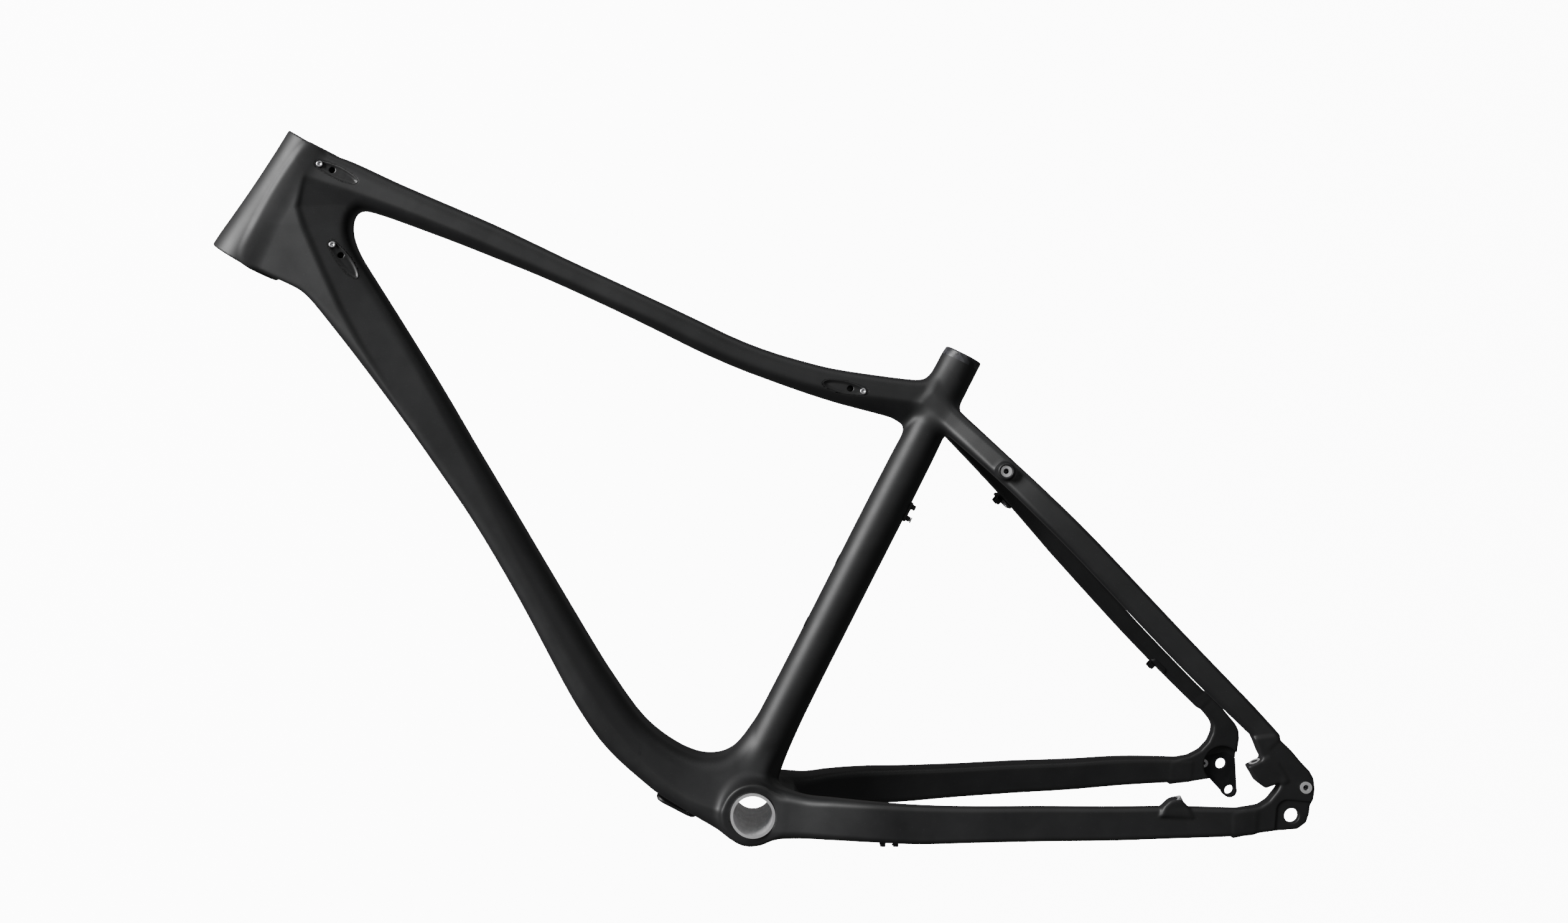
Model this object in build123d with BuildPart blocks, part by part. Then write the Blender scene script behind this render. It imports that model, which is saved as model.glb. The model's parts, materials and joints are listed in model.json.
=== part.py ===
from build123d import *
import os
from math import cos, radians, sin, sqrt

# Bicycle frame, a carbon hardtail for very wide tyres. Millimetres, +Z up.
# Origin: centre of the bottom bracket. +X runs to the rear wheel, the rider's left side is -Y.

# Overall geometry
axle_back = 452.2            # rear axle behind the bottom bracket
axle_rise = 55.0             # rear axle above the bottom bracket
hub_spacing = 197.0          # between the faces that clamp the rear hub
head_foot = (-505.0, 448.1)  # centre of the head tube's lower end, X and Z
head_tube_length = 124.0
head_lean = 25.3             # head tube's lean back from upright, degrees
seat_tube_offset = -14.2     # where the seat tube's axis would meet the bottom bracket's level
seat_lean = 21.75            # seat tube's lean back from upright, degrees
seat_tube_reach = 455.2      # from that level to the top of the seat tube, along its axis

# Head tube and its bearing seats
upper_bearing = 41.8         # outer diameters of the two headset bearings
lower_bearing = 51.8
bearing_play = 0.15
seat_ring_wall = 1.5
seat_ring_depth = 13.0
bearing_depth = 7.5
bearing_ledge = 3.0          # how far the ledge under a bearing stands in from its edge
head_skin = 2.4              # carbon around a bearing seat
head_foot_flare = 1.4        # more carbon round the lower seat
steerer_play_wall = 5.0      # wall of the head tube between its bearing seats

# Bottom bracket
shell_width = 100.0
shell_bore = 34.8
sleeve_wall = 2.4
boss_wall = 8.0              # carbon around the threaded sleeve
boss_setback = 1.6           # how far the sleeve stands proud of the carbon at each side
lug_middle = (0.62, 0.60, 24.0)  # up to the seat tube: share of its height, of the shell's width, depth
lug_foot = (0.10, 0.92, 29.0)
lug_end_point = (-4.0, 0.0)      # where the lug from the down tube ends
lug_end_slope = -10.0
lug_end_narrower = 3.0           # than the carbon round the sleeve
lug_end_depth = 50.0
lug_end_corner = 18.0

# Seat tube
seatpost_bore = 31.6
seat_tube_wall = 1.65
seatpost_depth = 190.0
seat_tube_lower_wall = 2.2
seat_tube_foot = 82.0        # along the axis, where the seat tube meets the bottom bracket junction
clamp_slot_width = 2.2
clamp_slot_length = 22.0
clamp_slot_end = 5.0         # diameter of the stress relief hole at the foot of the slot

# Tube walls
main_wall = 1.8
stay_wall = 1.5
junction_wall = 3.0

# Rear stays, half distances from the centre plane
yoke_reach = 100.0           # where the yoke ends and the chainstays begin
yoke_half = 67.0
yoke_rise = 9.0
yoke_web = (24.0, 44.0, 40.0, 10.0)       # between the arms: length, width, depth, corner
yoke_web_middle = (24.0, 0, 3.0)
wishbone_web = (26.0, 28.0, 30.0, 8.0)
wishbone_web_drop = 4.0
wishbone_web_run = (0.77, 0, -0.64)
wishbone_root_half = 7.0
wishbone_root_lift = 6.0
wishbone_half = 42.0
wishbone_run = 38.0          # behind the seat tube's axis
wishbone_joint_rise = 367.0  # level where the stays' line meets the seat tube's axis

# Dropouts
dropout_plate = 6.0          # clamped thickness at the axle
dropout_lip = 1.5            # how far the outer face stands outside that plate
dropout_rib = 6.0            # how far the rim stands inside the hub faces
axle_hole = 12.2
hub_recess = 36.0            # diameter left clear of the rim for the hub's end cap
hanger_thickness = 5.0
hanger_arm_thickness = 8.5
hanger_axle_core = 10.5      # bore for the axle's M12 x 1.5 thread
derailleur_thread = 10.0
derailleur_offset = (10.8, -25.0)
hanger_bolt_offset = (-16.4, -1.1)
hanger_bolt_shank = 5.0
hanger_bolt_head = 8.0
hanger_bolt_length = 7.0
hanger_bolt_head_depth = 2.4
hanger_bolt_socket = (1.7, 1.5)   # radius and depth of the hexagon
pocket_offset = (8.8, -9.5)       # shallow pocket on the left dropout's outside
pocket_side = 44.0
pocket_corner = 11.0

# Disc brake posts on the left, at the millimetres of the 74 mm post standard
post_spacing = 74.0
post_tilt = 30.4
front_post_offset = (-97.8, 4.9)
post_boss_radius = 7.6
post_boss_length = 19.0
post_tab_half = 9.2          # of the dropout's tab, along the line of the posts
post_insert_radius = 5.0
post_insert_length = 12.0
post_thread = 6.0

# Threaded eyelets for a rack or mudguard
eyelet_radius = 5.0
eyelet_boss_radius = 7.2
eyelet_boss_proud = 3.0
eyelet_boss_length = 12.0
eyelet_proud = 0.5
eyelet_length = 9.0
eyelet_thread = 5.0
dropout_eyelet_offset = (9.3, 25.0)

# Bottle cage nuts
bottle_spacing = 64.0
bottle_nut_radius = 3.5
bottle_flange_radius = 5.5
bottle_flange_proud = 1.0
bottle_nut_length = 12.0
bottle_flange_sunk = 2.5     # how far the flange's rim reaches down the tube's round side
bottle_thread = 5.0
seat_bottle_height = 206.0   # middle of the pair, along the seat tube

# Cable ports, guides and covers
port_length = 42.0
port_width = 11.5
port_proud = 0.9
port_sunk = 1.3
port_screw_inset = 4.8
port_hole_inset = 16.5
port_hole = 5.2
port_screw_shank = 3.0
port_screw_head = 5.6
port_screw_head_height = 0.7
port_screw_length = 6.0
port_screw_socket = 1.2      # radius of the hexagon
port_screw_socket_share = 0.6
seat_guide_height = 293.9    # along the seat tube's axis
seat_guide_boss = 5.0
seat_guide_boss_sunk = 6.0
seat_guide_boss_margin = (6.0, 1.0)  # longer and wider than the guide
seat_guide_boss_corner = 5.0
guide_length = 20.0
guide_width = 13.0
guide_base = 2.2
guide_clip_radius = 2.6
guide_clip_wall = 1.3
guide_clip_width = 6.0
guide_clip_slide = -4.5      # from the guide's middle, along it
guide_screw_slide = 5.5
guide_corner = 3.5
guide_sunk = 4.0             # how far the foot's rim reaches down a round tube
guide_clip_root = 0.8
cover_length = 40.0
cover_width = 26.0
cover_proud = 4.0
cover_sunk = 8.0
cover_corner = 9.0
cover_chamfer = 1.6
cover_screw_slide = 12.0


def leaned(base, lean, distance):
    # Point at a distance up a line that leans back from upright, in the centre plane
    return base[0] + distance * sin(radians(lean)), base[1] + distance * cos(radians(lean))


def between(start, end, share, rise):
    # Point at a share of the way from start to end, a rise above the straight line
    run = end[0] - start[0]
    climb = end[1] - start[1]
    length = sqrt(run * run + climb * climb)
    x = start[0] + share * run - rise * climb / length
    z = start[1] + share * climb + rise * run / length
    return x, z


def section_planes(points):
    # A plane across the path at each point, square to the line between its neighbours
    planes = []
    for index, point in enumerate(points):
        before = points[max(index - 1, 0)]
        after = points[min(index + 1, len(points) - 1)]
        heading = (Vector(*after) - Vector(*before)).normalized()
        across = Vector(0, 0, 1).cross(heading).normalized()
        planes.append(Plane(origin=point, x_dir=across, z_dir=heading))
    return planes


def tube(planes, sections, inset=0.0):
    # Loft through rounded oblongs: width across the frame, depth, corner radius
    with BuildPart() as solid:
        for plane, (width, depth, corner) in zip(planes, sections):
            with BuildSketch(plane):
                RectangleRounded(width - 2 * inset, depth - 2 * inset, corner - inset)
        loft()
    return solid.part


def rod(plane, radius, length, back=0.0):
    # Round bar along a plane's normal, from back behind the plane to length in front
    with BuildPart() as bar:
        with BuildSketch(plane.offset(-back)):
            Circle(radius)
        extrude(amount=length + back)
    return bar.part


def side_plane(x, z, y=0.0, out=-1):
    # Plane that faces out sideways at a point, its own x along the frame
    return Plane(origin=(x, y, z), x_dir=(1, 0, 0), z_dir=(0, out, 0))


def tilted_side_plane(x, z, slope, y, out):
    # The same, its own x turned to rise by a slope in degrees
    heading = (cos(radians(slope)), 0, sin(radians(slope)))
    return Plane(origin=(x, y, z), x_dir=heading, z_dir=(0, out, 0))


def centre_plane(point, slope):
    # Plane on the centre line whose normal rises by a slope in degrees
    normal = (cos(radians(slope)), 0, sin(radians(slope)))
    return Plane(origin=(point[0], 0, point[1]), x_dir=(0, 1, 0), z_dir=normal)


# Key points and planes
hub_half = hub_spacing / 2
head_plane = centre_plane(head_foot, 90 - head_lean)
head_top_plane = head_plane.offset(head_tube_length)
seat_base = (seat_tube_offset, 0.0)
seat_plane = centre_plane(seat_base, 90 - seat_lean)
seat_tube_radius = seatpost_bore / 2 + seat_tube_wall
sleeve_radius = shell_bore / 2 + sleeve_wall
boss_radius = sleeve_radius + boss_wall
boss_half = shell_width / 2 - boss_setback
upper_ring_radius = upper_bearing / 2 + bearing_play + seat_ring_wall
lower_ring_radius = lower_bearing / 2 + bearing_play + seat_ring_wall
head_top_radius = upper_ring_radius + head_skin
head_foot_radius = lower_ring_radius + head_skin + head_foot_flare
dropout_outer = hub_half + dropout_plate
rim_outer = dropout_outer + dropout_lip
rim_inner = hub_half - dropout_rib
stay_end_half = (rim_outer + rim_inner) / 2
dropout_width = rim_outer - rim_inner

# Tube paths: share of the way, rise above the straight line, width, depth, corner
down_start = leaned(head_foot, head_lean, 0.43 * head_tube_length)
down_end = (0.0, 0.0)
down_stations = (
    (0.000, -4.0, 44.0, 88.0, 13.0),
    (0.080, 8.0, 48.0, 80.0, 13.0),
    (0.150, 1.0, 52.0, 55.0, 13.0),
    (0.335, -9.5, 57.0, 42.5, 16.0),
    (0.545, -26.5, 60.0, 36.0, 14.0),
    (0.675, -41.0, 63.0, 39.0, 14.0),
    (0.765, -50.0, 67.0, 43.0, 15.0),
    (0.840, -50.5, 73.0, 43.5, 16.0),
    (0.894, -42.0, 80.0, 45.0, 17.0),
    (0.944, -22.0, 88.0, 54.0, 20.0),
)
down_points = [(x, 0.0, z) for x, z in
               (between(down_start, down_end, share, rise) for share, rise, *_ in down_stations)]
down_planes = section_planes(down_points)
down_planes[0] = centre_plane((down_points[0][0], down_points[0][2]), -head_lean)
down_planes[1] = centre_plane((down_points[1][0], down_points[1][2]), -head_lean - 7)
down_sections = [station[2:] for station in down_stations]
down_envelope = tube(down_planes, down_sections)
down_void = tube(down_planes, down_sections, main_wall)

top_start = leaned(head_foot, head_lean, 0.74 * head_tube_length)
top_joint_reach = 405.0      # up the seat tube's axis
top_end = leaned(seat_base, seat_lean, top_joint_reach)
top_stations = (
    (0.000, 1.0, 40.0, 48.0, 9.0),
    (0.060, 1.6, 42.0, 44.0, 9.0),
    (0.115, 3.6, 42.0, 33.5, 9.0),
    (0.268, 1.5, 40.0, 26.0, 10.0),
    (0.438, -5.5, 38.0, 22.0, 9.0),
    (0.604, -15.0, 36.0, 22.5, 9.0),
    (0.712, -21.0, 35.0, 22.5, 9.0),
    (0.818, -19.0, 34.0, 26.0, 8.0),
    (0.900, -12.5, 32.0, 32.0, 9.0),
    (1.000, 0.0, 28.0, 40.0, 10.0),
)
top_points = [(x, 0.0, z) for x, z in
              (between(top_start, top_end, share, rise) for share, rise, *_ in top_stations)]
top_planes = section_planes(top_points)
top_planes[0] = centre_plane((top_points[0][0], top_points[0][2]), -head_lean)
top_sections = [station[2:] for station in top_stations]
top_envelope = tube(top_planes, top_sections)
top_void = tube(top_planes, top_sections, main_wall)

with BuildPart() as head_block:
    with BuildSketch(head_plane):
        Circle(head_foot_radius)
    with BuildSketch(head_top_plane):
        Circle(head_top_radius)
    loft(ruled=True)
head_envelope = head_block.part

seat_envelope = rod(seat_plane.offset(seat_tube_foot), seat_tube_radius,
                    seat_tube_reach - seat_tube_foot)

# Stays: share of the way in the centre plane, rise, share of the spread, width, depth, corner
yoke_points = [(5.0, -20.0, -2.0), (30.0, -34.0, 1.0), (60.0, -50.0, 4.5)]
yoke_sections = [(40.0, 46.0, 12.0), (34.0, 42.0, 11.0), (27.0, 37.0, 9.0)]
chainstay_stations = (
    (0.000, 0.0, 0.00, 21.0, 34.0, 7.0),
    (0.125, -1.0, 0.20, 19.0, 33.0, 7.0),
    (0.270, -1.5, 0.38, 18.0, 31.0, 6.5),
    (0.460, -2.2, 0.55, 17.5, 29.5, 6.5),
    (0.635, -2.2, 0.72, 17.0, 28.0, 6.0),
    (0.790, -2.0, 0.92, 16.0, 26.5, 5.5),
    (0.920, -1.3, 1.00, 12.6, 24.2, 5.0),
    (1.000, 0.0, 1.00, 12.6, 22.0, 4.5),
)
seatstay_stations = (
    (0.000, 0.0, 0.00, 18.0, 18.0, 5.0),
    (0.075, 0.0, 0.23, 17.0, 17.0, 5.0),
    (0.165, 0.0, 0.45, 16.5, 17.0, 5.0),
    (0.260, 0.0, 0.58, 16.0, 17.0, 5.0),
    (0.377, 0.0, 0.65, 15.5, 17.5, 5.0),
    (0.510, 0.0, 0.71, 15.0, 18.0, 5.0),
    (0.704, 0.0, 0.80, 14.5, 18.0, 5.0),
    (0.892, 0.0, 0.90, 13.5, 17.0, 4.5),
    (1.000, 0.0, 1.00, 13.0, 16.0, 4.5),
)


def stay_points(start, start_half, end, end_half, stations):
    # Left stay's centres: its run in the centre plane, and its spread from that plane
    points = []
    for share, rise, spread, *_ in stations:
        x, z = between(start, end, share, rise)
        points.append((x, -(start_half + spread * (end_half - start_half)), z))
    return points


chainstay_start = (yoke_reach, yoke_rise)
chainstay_end = (axle_back - 30.2, axle_rise - 8.5)
lower_points = yoke_points + stay_points(chainstay_start, yoke_half, chainstay_end,
                                         stay_end_half, chainstay_stations)
lower_planes = section_planes(lower_points)
lower_sections = yoke_sections + [station[3:] for station in chainstay_stations]
yoke_count = len(yoke_points)

wishbone_root = leaned(seat_base, seat_lean,
                       wishbone_joint_rise / cos(radians(seat_lean)) + wishbone_root_lift)
seatstay_end = (axle_back - 20.2, axle_rise + 57.8)
wishbone_share = wishbone_run / (seatstay_end[0] - wishbone_root[0])
seatstay_start = between(wishbone_root, seatstay_end, wishbone_share, 0.0)
wishbone_shares = ((0.0, 0.0, 26.0, 27.0, 8.0), (0.45, 0.42, 20.0, 21.0, 6.5))
wishbone_points = []
for share, spread, *_ in wishbone_shares:
    x, z = between(wishbone_root, seatstay_start, share, 0.0)
    half = wishbone_root_half + spread * (wishbone_half - wishbone_root_half)
    wishbone_points.append((x, -half, z))
wishbone_count = len(wishbone_points)
upper_points = wishbone_points + stay_points(seatstay_start, wishbone_half, seatstay_end,
                                             stay_end_half, seatstay_stations)
upper_planes = section_planes(upper_points)
upper_sections = [share[2:] for share in wishbone_shares]
upper_sections += [station[3:] for station in seatstay_stations]

yoke_arm = tube(lower_planes[:yoke_count + 1], lower_sections[:yoke_count + 1])
yoke_arm_void = tube(lower_planes[:yoke_count + 1], lower_sections[:yoke_count + 1], main_wall)
chainstay_envelope = tube(lower_planes[yoke_count:], lower_sections[yoke_count:])
chainstay_void = tube(lower_planes[yoke_count:], lower_sections[yoke_count:], stay_wall)
wishbone_arm = tube(upper_planes[:wishbone_count + 1], upper_sections[:wishbone_count + 1])
wishbone_arm_void = tube(upper_planes[:wishbone_count + 1], upper_sections[:wishbone_count + 1],
                         main_wall)
seatstay_envelope = tube(upper_planes[wishbone_count:], upper_sections[wishbone_count:])
seatstay_void = tube(upper_planes[wishbone_count:], upper_sections[wishbone_count:], stay_wall)

# Bottom bracket junction: boss along Y, a lug up to the seat tube and one on to the down tube
with BuildPart() as seat_lug:
    with BuildSketch(seat_plane.offset(seat_tube_foot)):
        Circle(seat_tube_radius)
    for share, width_share, depth in (lug_middle, lug_foot):
        with BuildSketch(seat_plane.offset(share * seat_tube_foot)):
            Ellipse(width_share * shell_width / 2, depth)
    loft()
with BuildPart() as seat_lug_void:
    with BuildSketch(seat_plane.offset(seat_tube_foot)):
        Circle(seat_tube_radius - seat_tube_lower_wall)
    for share, width_share, depth in (lug_middle, lug_foot):
        with BuildSketch(seat_plane.offset(share * seat_tube_foot)):
            Ellipse(width_share * shell_width / 2 - junction_wall, depth - junction_wall)
    loft()
lug_end = centre_plane(lug_end_point, lug_end_slope)
lug_end_section = (2 * boss_half - lug_end_narrower, lug_end_depth, lug_end_corner)
down_lug = tube([down_planes[-1], lug_end], [down_sections[-1], lug_end_section])
down_lug_void = tube([down_planes[-1], lug_end], [down_sections[-1], lug_end_section], junction_wall)
boss = rod(side_plane(0, 0, boss_half), boss_radius, 2 * boss_half)
boss_core = rod(side_plane(0, 0, boss_half), sleeve_radius + junction_wall, 2 * boss_half)
with BuildPart() as junction_block:
    add(boss)
    add(seat_lug.part)
    add(down_lug)
junction_envelope = junction_block.part

# Left dropout, its outline measured from the axle: stay ends, wheel side curve, brake tab, rim
post_heading = (cos(radians(post_tilt)), sin(radians(post_tilt)))
rear_post_offset = (front_post_offset[0] + post_spacing * post_heading[0],
                    front_post_offset[1] + post_spacing * post_heading[1])
tab_front = (rear_post_offset[0] - post_tab_half * post_heading[0],
             rear_post_offset[1] - post_tab_half * post_heading[1])
tab_back = (rear_post_offset[0] + post_tab_half * post_heading[0],
            rear_post_offset[1] + post_tab_half * post_heading[1])
left_outline = ((-43.0, -20.0), (-43.0, 3.2), (-16.0, 6.5), (-9.5, 33.5), (-31.0, 26.5), tab_front,
                tab_back, (-22.0, 52.0), (-10.5, 60.0), (10.0, 42.0), (17.3, 33.0), (17.0, 12.0),
                (12.5, -8.5), (-12.0, -13.5))
left_radii = (0, 0, 16.0, 3.0, 2.5, 1.0, 1.0, 2.0, 0, 8.0, 5.0, 3.0, 9.0, 1.0)
right_outline = ((-43.0, -20.0), (-43.0, 3.2), (-17.0, 6.5), (-10.5, 40.0), (-22.0, 52.0),
                 (-10.5, 60.0), (8.0, 43.5), (13.8, 33.0), (13.5, -10.0), (5.0, -13.5),
                 (-12.0, -13.5))
right_radii = (0, 0, 16.0, 8.0, 2.0, 0, 6.0, 6.0, 5.0, 5.0, 1.0)


def dropout_block(outline, radii):
    # Plate of full thickness with the given outline, on the left
    with BuildPart() as block:
        with BuildSketch(side_plane(axle_back, axle_rise, -rim_inner)):
            with BuildLine():
                FilletPolyline(*outline, radius=radii, close=True)
            make_face()
        extrude(amount=dropout_width)
    return block.part


def mirrored(part):
    # The same piece on the other side of the frame
    return mirror(part, about=Plane.XZ, mode=Mode.PRIVATE)


left_block = dropout_block(left_outline, left_radii)
right_block = mirrored(dropout_block(right_outline, right_radii))

# Derailleur hanger, on the inside of the right dropout
hanger_eye = 7.0             # radius around the derailleur's hole
hanger_cheek = 6.8           # radius around the bolt
hanger_web = ((-18.0, 5.5), (3.0, 12.0), (13.2, 7.0), (17.6, -24.5), (4.6, -28.0), (-18.0, -7.7))
with BuildPart() as hanger_block:
    with BuildSketch(side_plane(axle_back, axle_rise, -hub_half)) as web:
        with BuildLine():
            FilletPolyline(*hanger_web, radius=(3.0, 5.0, 3.0, 1.0, 1.0, 3.0), close=True)
        make_face()
        with Locations(derailleur_offset):
            Circle(hanger_eye)
        with Locations(hanger_bolt_offset):
            Circle(hanger_cheek)
    extrude(amount=hanger_thickness)
    with BuildSketch(side_plane(axle_back, axle_rise, -hub_half)):
        with Locations(derailleur_offset):
            Circle(hanger_eye)
    extrude(amount=hanger_arm_thickness)
hanger_envelope = mirrored(hanger_block.part)
with BuildPart() as hanger_clearance:
    extrude(web.sketch, amount=-dropout_rib)
hanger_room = mirrored(hanger_clearance.part)

# Brake posts, both square to the line between them
post_normal = Vector(-post_heading[1], 0, post_heading[0])
post_planes = []
for offset in (front_post_offset, rear_post_offset):
    post_planes.append(Plane(origin=(axle_back + offset[0], -stay_end_half, axle_rise + offset[1]),
                             x_dir=(0, 1, 0), z_dir=post_normal))
front_boss = rod(post_planes[0], post_boss_radius, 0.0, post_boss_length)

# Small pieces


def threaded_insert(plane, radius, length, thread):
    # Aluminium bush, its open end on the plane
    with BuildPart() as bush:
        with BuildSketch(plane):
            Circle(radius)
            Circle(thread / 2, mode=Mode.SUBTRACT)
        extrude(amount=-length)
    return bush.part


def surface_plane(planes, sections, index, share, side):
    # Plane on a tube's top (side 1) or underside (-1), a share of the way between two stations
    first = planes[index].origin + planes[index].y_dir * (side * sections[index][1] / 2)
    last = planes[index + 1].origin + planes[index + 1].y_dir * (side * sections[index + 1][1] / 2)
    heading = (last - first).normalized()
    across = (planes[index].x_dir + planes[index + 1].x_dir).normalized()
    normal = heading.cross(across) * side
    return Plane(origin=first + (last - first) * share, x_dir=heading, z_dir=normal)


def slid(plane, distance, lift=0.0):
    # The same plane, moved along its own x and lifted along its normal
    return Plane(origin=plane.origin + plane.x_dir * distance + plane.z_dir * lift,
                 x_dir=plane.x_dir, z_dir=plane.z_dir)


def bottle_nut(plane, host):
    # Riveted nut: flange lying on the tube's skin, sleeve through it, threaded bore
    with BuildPart() as nut:
        with BuildSketch(plane.offset(-bottle_flange_sunk)):
            Circle(bottle_flange_radius)
        extrude(amount=bottle_flange_sunk + bottle_flange_proud)
        add(host, mode=Mode.SUBTRACT)
        add(rod(plane, bottle_nut_radius, bottle_flange_proud, bottle_nut_length))
        add(rod(plane, bottle_thread / 2, bottle_flange_proud, bottle_nut_length),
            mode=Mode.SUBTRACT)
    return nut.part


def cable_guide(plane, host):
    # Clip-on guide: foot lying on the tube's skin, open ring above it
    ring_rise = guide_base + guide_clip_radius
    ring_plane = Plane(origin=slid(plane, guide_clip_slide, ring_rise).origin, x_dir=plane.y_dir,
                       z_dir=plane.x_dir)
    with BuildPart() as guide:
        with BuildSketch(plane.offset(-guide_sunk)):
            RectangleRounded(guide_length, guide_width, guide_corner)
        extrude(amount=guide_sunk + guide_base)
        with BuildSketch(slid(plane, guide_clip_slide).offset(guide_base - guide_clip_root)):
            Rectangle(guide_clip_width, 2 * guide_clip_radius)
        extrude(amount=guide_clip_wall)
        with BuildSketch(ring_plane):
            Circle(guide_clip_radius + guide_clip_wall)
        extrude(amount=guide_clip_width / 2, both=True)
        with BuildSketch(ring_plane):
            Circle(guide_clip_radius)
        extrude(amount=guide_clip_width, both=True, mode=Mode.SUBTRACT)
        with BuildSketch(slid(plane, guide_clip_slide, ring_rise)):
            Rectangle(2 * guide_clip_width, 1.5 * guide_clip_radius)
        extrude(amount=2 * guide_clip_radius, mode=Mode.SUBTRACT)
        add(host, mode=Mode.SUBTRACT)
    return guide.part


def screw(plane, proud, length=port_screw_length):
    # Cap screw with a hexagon socket: head on the plane, shank below it
    with BuildPart() as bolt:
        with BuildSketch(plane):
            Circle(port_screw_head / 2)
        extrude(amount=proud)
        with BuildSketch(plane):
            Circle(port_screw_shank / 2)
        extrude(amount=-length)
        with BuildSketch(plane.offset(proud)):
            RegularPolygon(port_screw_socket, 6)
        extrude(amount=-port_screw_socket_share * proud, mode=Mode.SUBTRACT)
    return bolt.part


def port_plate(plane, screw_end):
    # Plate let into the side of a tube, with a screw at one end and a cable hole beside it
    with BuildPart() as plate:
        with BuildSketch(plane.offset(-port_sunk)):
            SlotOverall(port_length, port_width)
        extrude(amount=port_sunk + port_proud)
        with BuildSketch(slid(plane, screw_end * (port_length / 2 - port_hole_inset), -port_sunk)):
            Circle(port_hole / 2)
        extrude(amount=port_sunk + port_proud, mode=Mode.SUBTRACT)
        add(port_screw(plane, screw_end), mode=Mode.SUBTRACT)
    return plate.part


def port_screw(plane, screw_end):
    place = slid(plane, screw_end * (port_length / 2 - port_screw_inset), port_proud)
    return screw(place, port_screw_head_height)


def port_cut(plane, screw_end):
    # What a port takes out of its tube: the plate's pocket, the cable hole and the screw's hole
    cable_hole = slid(plane, screw_end * (port_length / 2 - port_hole_inset))
    with BuildPart() as cut:
        with BuildSketch(plane.offset(-port_sunk)):
            SlotOverall(port_length, port_width)
        extrude(amount=port_sunk + port_proud)
        add(rod(cable_hole, port_hole / 2, 0.0, port_screw_length))
        add(rod(slid(plane, screw_end * (port_length / 2 - port_screw_inset)),
                port_screw_shank / 2, 0.0, port_screw_length))
    return cut.part


# Left-hand ports: middle of each plate on the tube's skin, its slope, and which end the screw is
top_front_middle = between(top_start, top_end, 0.0644, 14.0)
top_rear_middle = between(top_start, top_end, 0.862, -14.5)
down_port_middle = between(down_start, down_end, 0.112, 24.0)
top_front_side = -top_sections[1][0] / 2
top_rear_side = -(top_sections[7][0] + top_sections[8][0]) / 4
down_port_side = -(down_sections[1][0] + down_sections[2][0]) / 4
ports = {
    "top_tube_front_port": (tilted_side_plane(*top_front_middle, -20.5, top_front_side, -1), -1),
    "top_tube_rear_port": (tilted_side_plane(*top_rear_middle, -7.0, top_rear_side, -1), 1),
    "down_tube_port": (tilted_side_plane(*down_port_middle, -49.0, down_port_side, -1), -1),
}
port_cuts = {name: port_cut(*place) for name, place in ports.items()}
port_screws = {name: port_screw(*place) for name, place in ports.items()}

# Bottle nuts: middle of the down tube's pair between two of its stations
down_pair = surface_plane(down_planes, down_sections, 4, 0.47, 1)
seat_front = Vector(-cos(radians(seat_lean)), 0, sin(radians(seat_lean)))
seat_up = Vector(sin(radians(seat_lean)), 0, cos(radians(seat_lean)))
seat_pair = Plane(origin=Vector(seat_tube_offset, 0, 0) + seat_up * seat_bottle_height
                  + seat_front * seat_tube_radius, x_dir=seat_up, z_dir=seat_front)
nut_places = [slid(down_pair, side * bottle_spacing / 2) for side in (-1, 1)]
seat_nut_places = [slid(seat_pair, side * bottle_spacing / 2) for side in (-1, 1)]

# Guides, and the cover under the down tube
chainstay_guide_plane = surface_plane(lower_planes, lower_sections, yoke_count, 0.42, -1)
seatstay_guide_planes = [
    surface_plane(upper_planes, upper_sections, wishbone_count + 2, 0.12, -1),
    surface_plane(upper_planes, upper_sections, wishbone_count + 6, 0.62, -1),
]
seat_guide_plane = Plane(origin=Vector(seat_tube_offset, 0, 0) + seat_up * seat_guide_height
                         - seat_front * (seat_tube_radius + seat_guide_boss),
                         x_dir=seat_up, z_dir=-seat_front)
cover_plane = surface_plane(down_planes, down_sections, 8, 0.55, -1)


def guide_screw(plane):
    return screw(slid(plane, guide_screw_slide, guide_base), port_screw_head_height)


def shank_hole(plane, distance):
    return rod(slid(plane, distance), port_screw_shank / 2, guide_base, port_screw_length)


with BuildPart() as seat_guide_block:
    with BuildSketch(seat_guide_plane.offset(-seat_guide_boss - seat_guide_boss_sunk)):
        RectangleRounded(guide_length + seat_guide_boss_margin[0],
                         guide_width + seat_guide_boss_margin[1], seat_guide_boss_corner)
    extrude(amount=seat_guide_boss + seat_guide_boss_sunk)

os.makedirs("parts", exist_ok=True)


def finish_part(part, name):
    part.label = name
    export_step(part, f"parts/{name}.step")
    print(name, "solids", len(part.solids()), "volume", round(part.volume))


# Head tube, open from end to end, stepped at both ends for the bearing seats
with BuildPart() as head_tube:
    add(head_envelope)
    with BuildSketch(head_plane):
        Circle(lower_ring_radius)
    extrude(amount=seat_ring_depth, mode=Mode.SUBTRACT)
    with BuildSketch(head_top_plane):
        Circle(upper_ring_radius)
    extrude(amount=-seat_ring_depth, mode=Mode.SUBTRACT)
    with BuildSketch(head_plane.offset(seat_ring_depth)):
        Circle(head_foot_radius - steerer_play_wall)
    with BuildSketch(head_top_plane.offset(-seat_ring_depth)):
        Circle(head_top_radius - steerer_play_wall)
    loft(ruled=True, mode=Mode.SUBTRACT)
    add(port_cuts["top_tube_front_port"], mode=Mode.SUBTRACT)
    add(mirrored(port_cuts["top_tube_front_port"]), mode=Mode.SUBTRACT)
finish_part(head_tube.part, "head_tube")

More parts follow.
